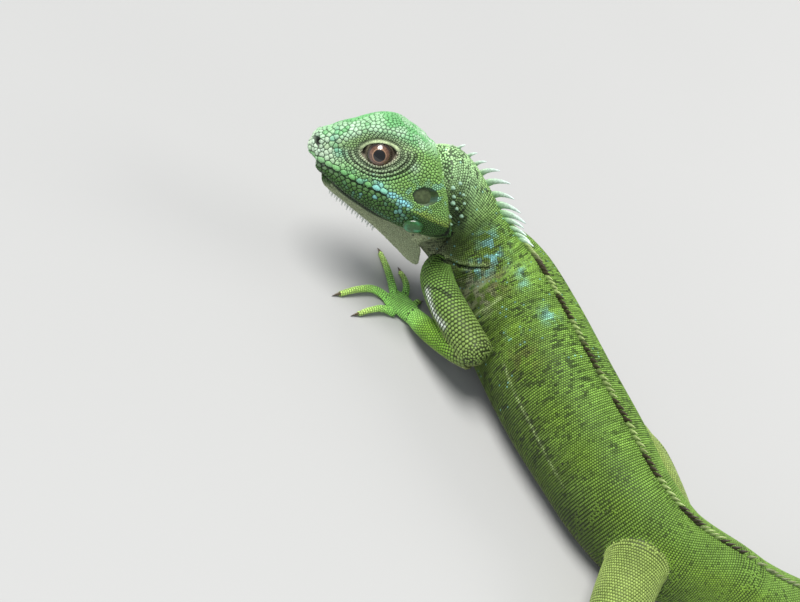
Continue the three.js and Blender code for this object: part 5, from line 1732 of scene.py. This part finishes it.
# ---------------------------------------------------------------- materials
def material(name, roughness, specular, bump_depth, grain, coat_weight=0.0, speckle=0.3):
    """Colour from the markings, broken by grain, with fine relief."""
    made = bpy.data.materials.new(name)
    made.use_nodes = True
    nodes, links = made.node_tree.nodes, made.node_tree.links
    shader = nodes["Principled BSDF"]
    shader.inputs["Specular IOR Level"].default_value = specular
    shader.inputs["Coat Weight"].default_value = coat_weight
    shader.inputs["Coat Roughness"].default_value = 0.12
    tint = nodes.new("ShaderNodeAttribute")
    tint.attribute_name = "tint"
    where = nodes.new("ShaderNodeTexCoord")
    fine = nodes.new("ShaderNodeTexNoise")
    fine.inputs["Scale"].default_value = grain
    fine.inputs["Detail"].default_value = 4
    links.new(where.outputs["Object"], fine.inputs["Vector"])
    light = nodes.new("ShaderNodeMapRange")
    light.inputs["From Min"].default_value = 0.3
    light.inputs["From Max"].default_value = 0.7
    light.inputs["To Min"].default_value = 1 - speckle
    light.inputs["To Max"].default_value = 1 + speckle
    links.new(fine.outputs["Fac"], light.inputs["Value"])
    scaled = nodes.new("ShaderNodeVectorMath")
    scaled.operation = "SCALE"
    links.new(tint.outputs["Color"], scaled.inputs[0])
    links.new(light.outputs["Result"], scaled.inputs["Scale"])
    links.new(scaled.outputs["Vector"], shader.inputs["Base Color"])
    rough = nodes.new("ShaderNodeMapRange")
    rough.inputs["To Min"].default_value = roughness - 0.1
    rough.inputs["To Max"].default_value = roughness + 0.1
    links.new(fine.outputs["Fac"], rough.inputs["Value"])
    links.new(rough.outputs["Result"], shader.inputs["Roughness"])
    relief = nodes.new("ShaderNodeBump")
    relief.inputs["Distance"].default_value = bump_depth * MM
    relief.inputs["Strength"].default_value = 0.6
    links.new(fine.outputs["Fac"], relief.inputs["Height"])
    links.new(relief.outputs["Normal"], shader.inputs["Normal"])
    return made


FINISHES = [  # pieces, name, roughness, specular level, relief in mm, grain, then clear coat and speckle
    (coat, "scales", 0.46, 0.4, 0.05, 2600), ([skin], "skin", 0.55, 0.35, 0.12, 1700),
    ([crest, gular], "horn", 0.42, 0.45, 0.05, 1800), ([claw_piece], "claw", 0.32, 0.5, 0.04, 1500),
    (eyes, "eye", 0.25, 0.5, 0.0, 2600, 1.0, 0.15), (drums, "eardrum", 0.5, 0.4, 0.08, 900),
    (glossy, "shield", 0.3, 0.5, 0.04, 1500, 0.4),
]
for things, name, *values in FINISHES:
    finish = material(name, *values)
    if name == "eye":
        finish.node_tree.nodes["Principled BSDF"].inputs["Coat Roughness"].default_value = 0.03
    for thing in things:
        thing.data.materials.append(finish)

floor_mesh = bpy.data.meshes.new("floor")
corners = [(x * FLOOR_HALF, y * FLOOR_HALF, 0) for x, y in ((-1, -1), (1, -1), (1, 1), (-1, 1))]
floor_mesh.from_pydata(corners, [], [(0, 1, 2, 3)])
floor = bpy.data.objects.new("floor", floor_mesh)
scene.collection.objects.link(floor)
ground = bpy.data.materials.new("floor")
ground.use_nodes = True
nodes, links = ground.node_tree.nodes, ground.node_tree.links
nodes["Principled BSDF"].inputs["Roughness"].default_value = 0.8
plain = nodes.new("ShaderNodeTexNoise")
plain.inputs["Scale"].default_value = 40
tone = nodes.new("ShaderNodeMapRange")
tone.inputs["To Min"].default_value = 0.4
tone.inputs["To Max"].default_value = 0.44
links.new(plain.outputs["Fac"], tone.inputs["Value"])
links.new(tone.outputs["Result"], nodes["Principled BSDF"].inputs["Base Color"])
floor_mesh.materials.append(ground)
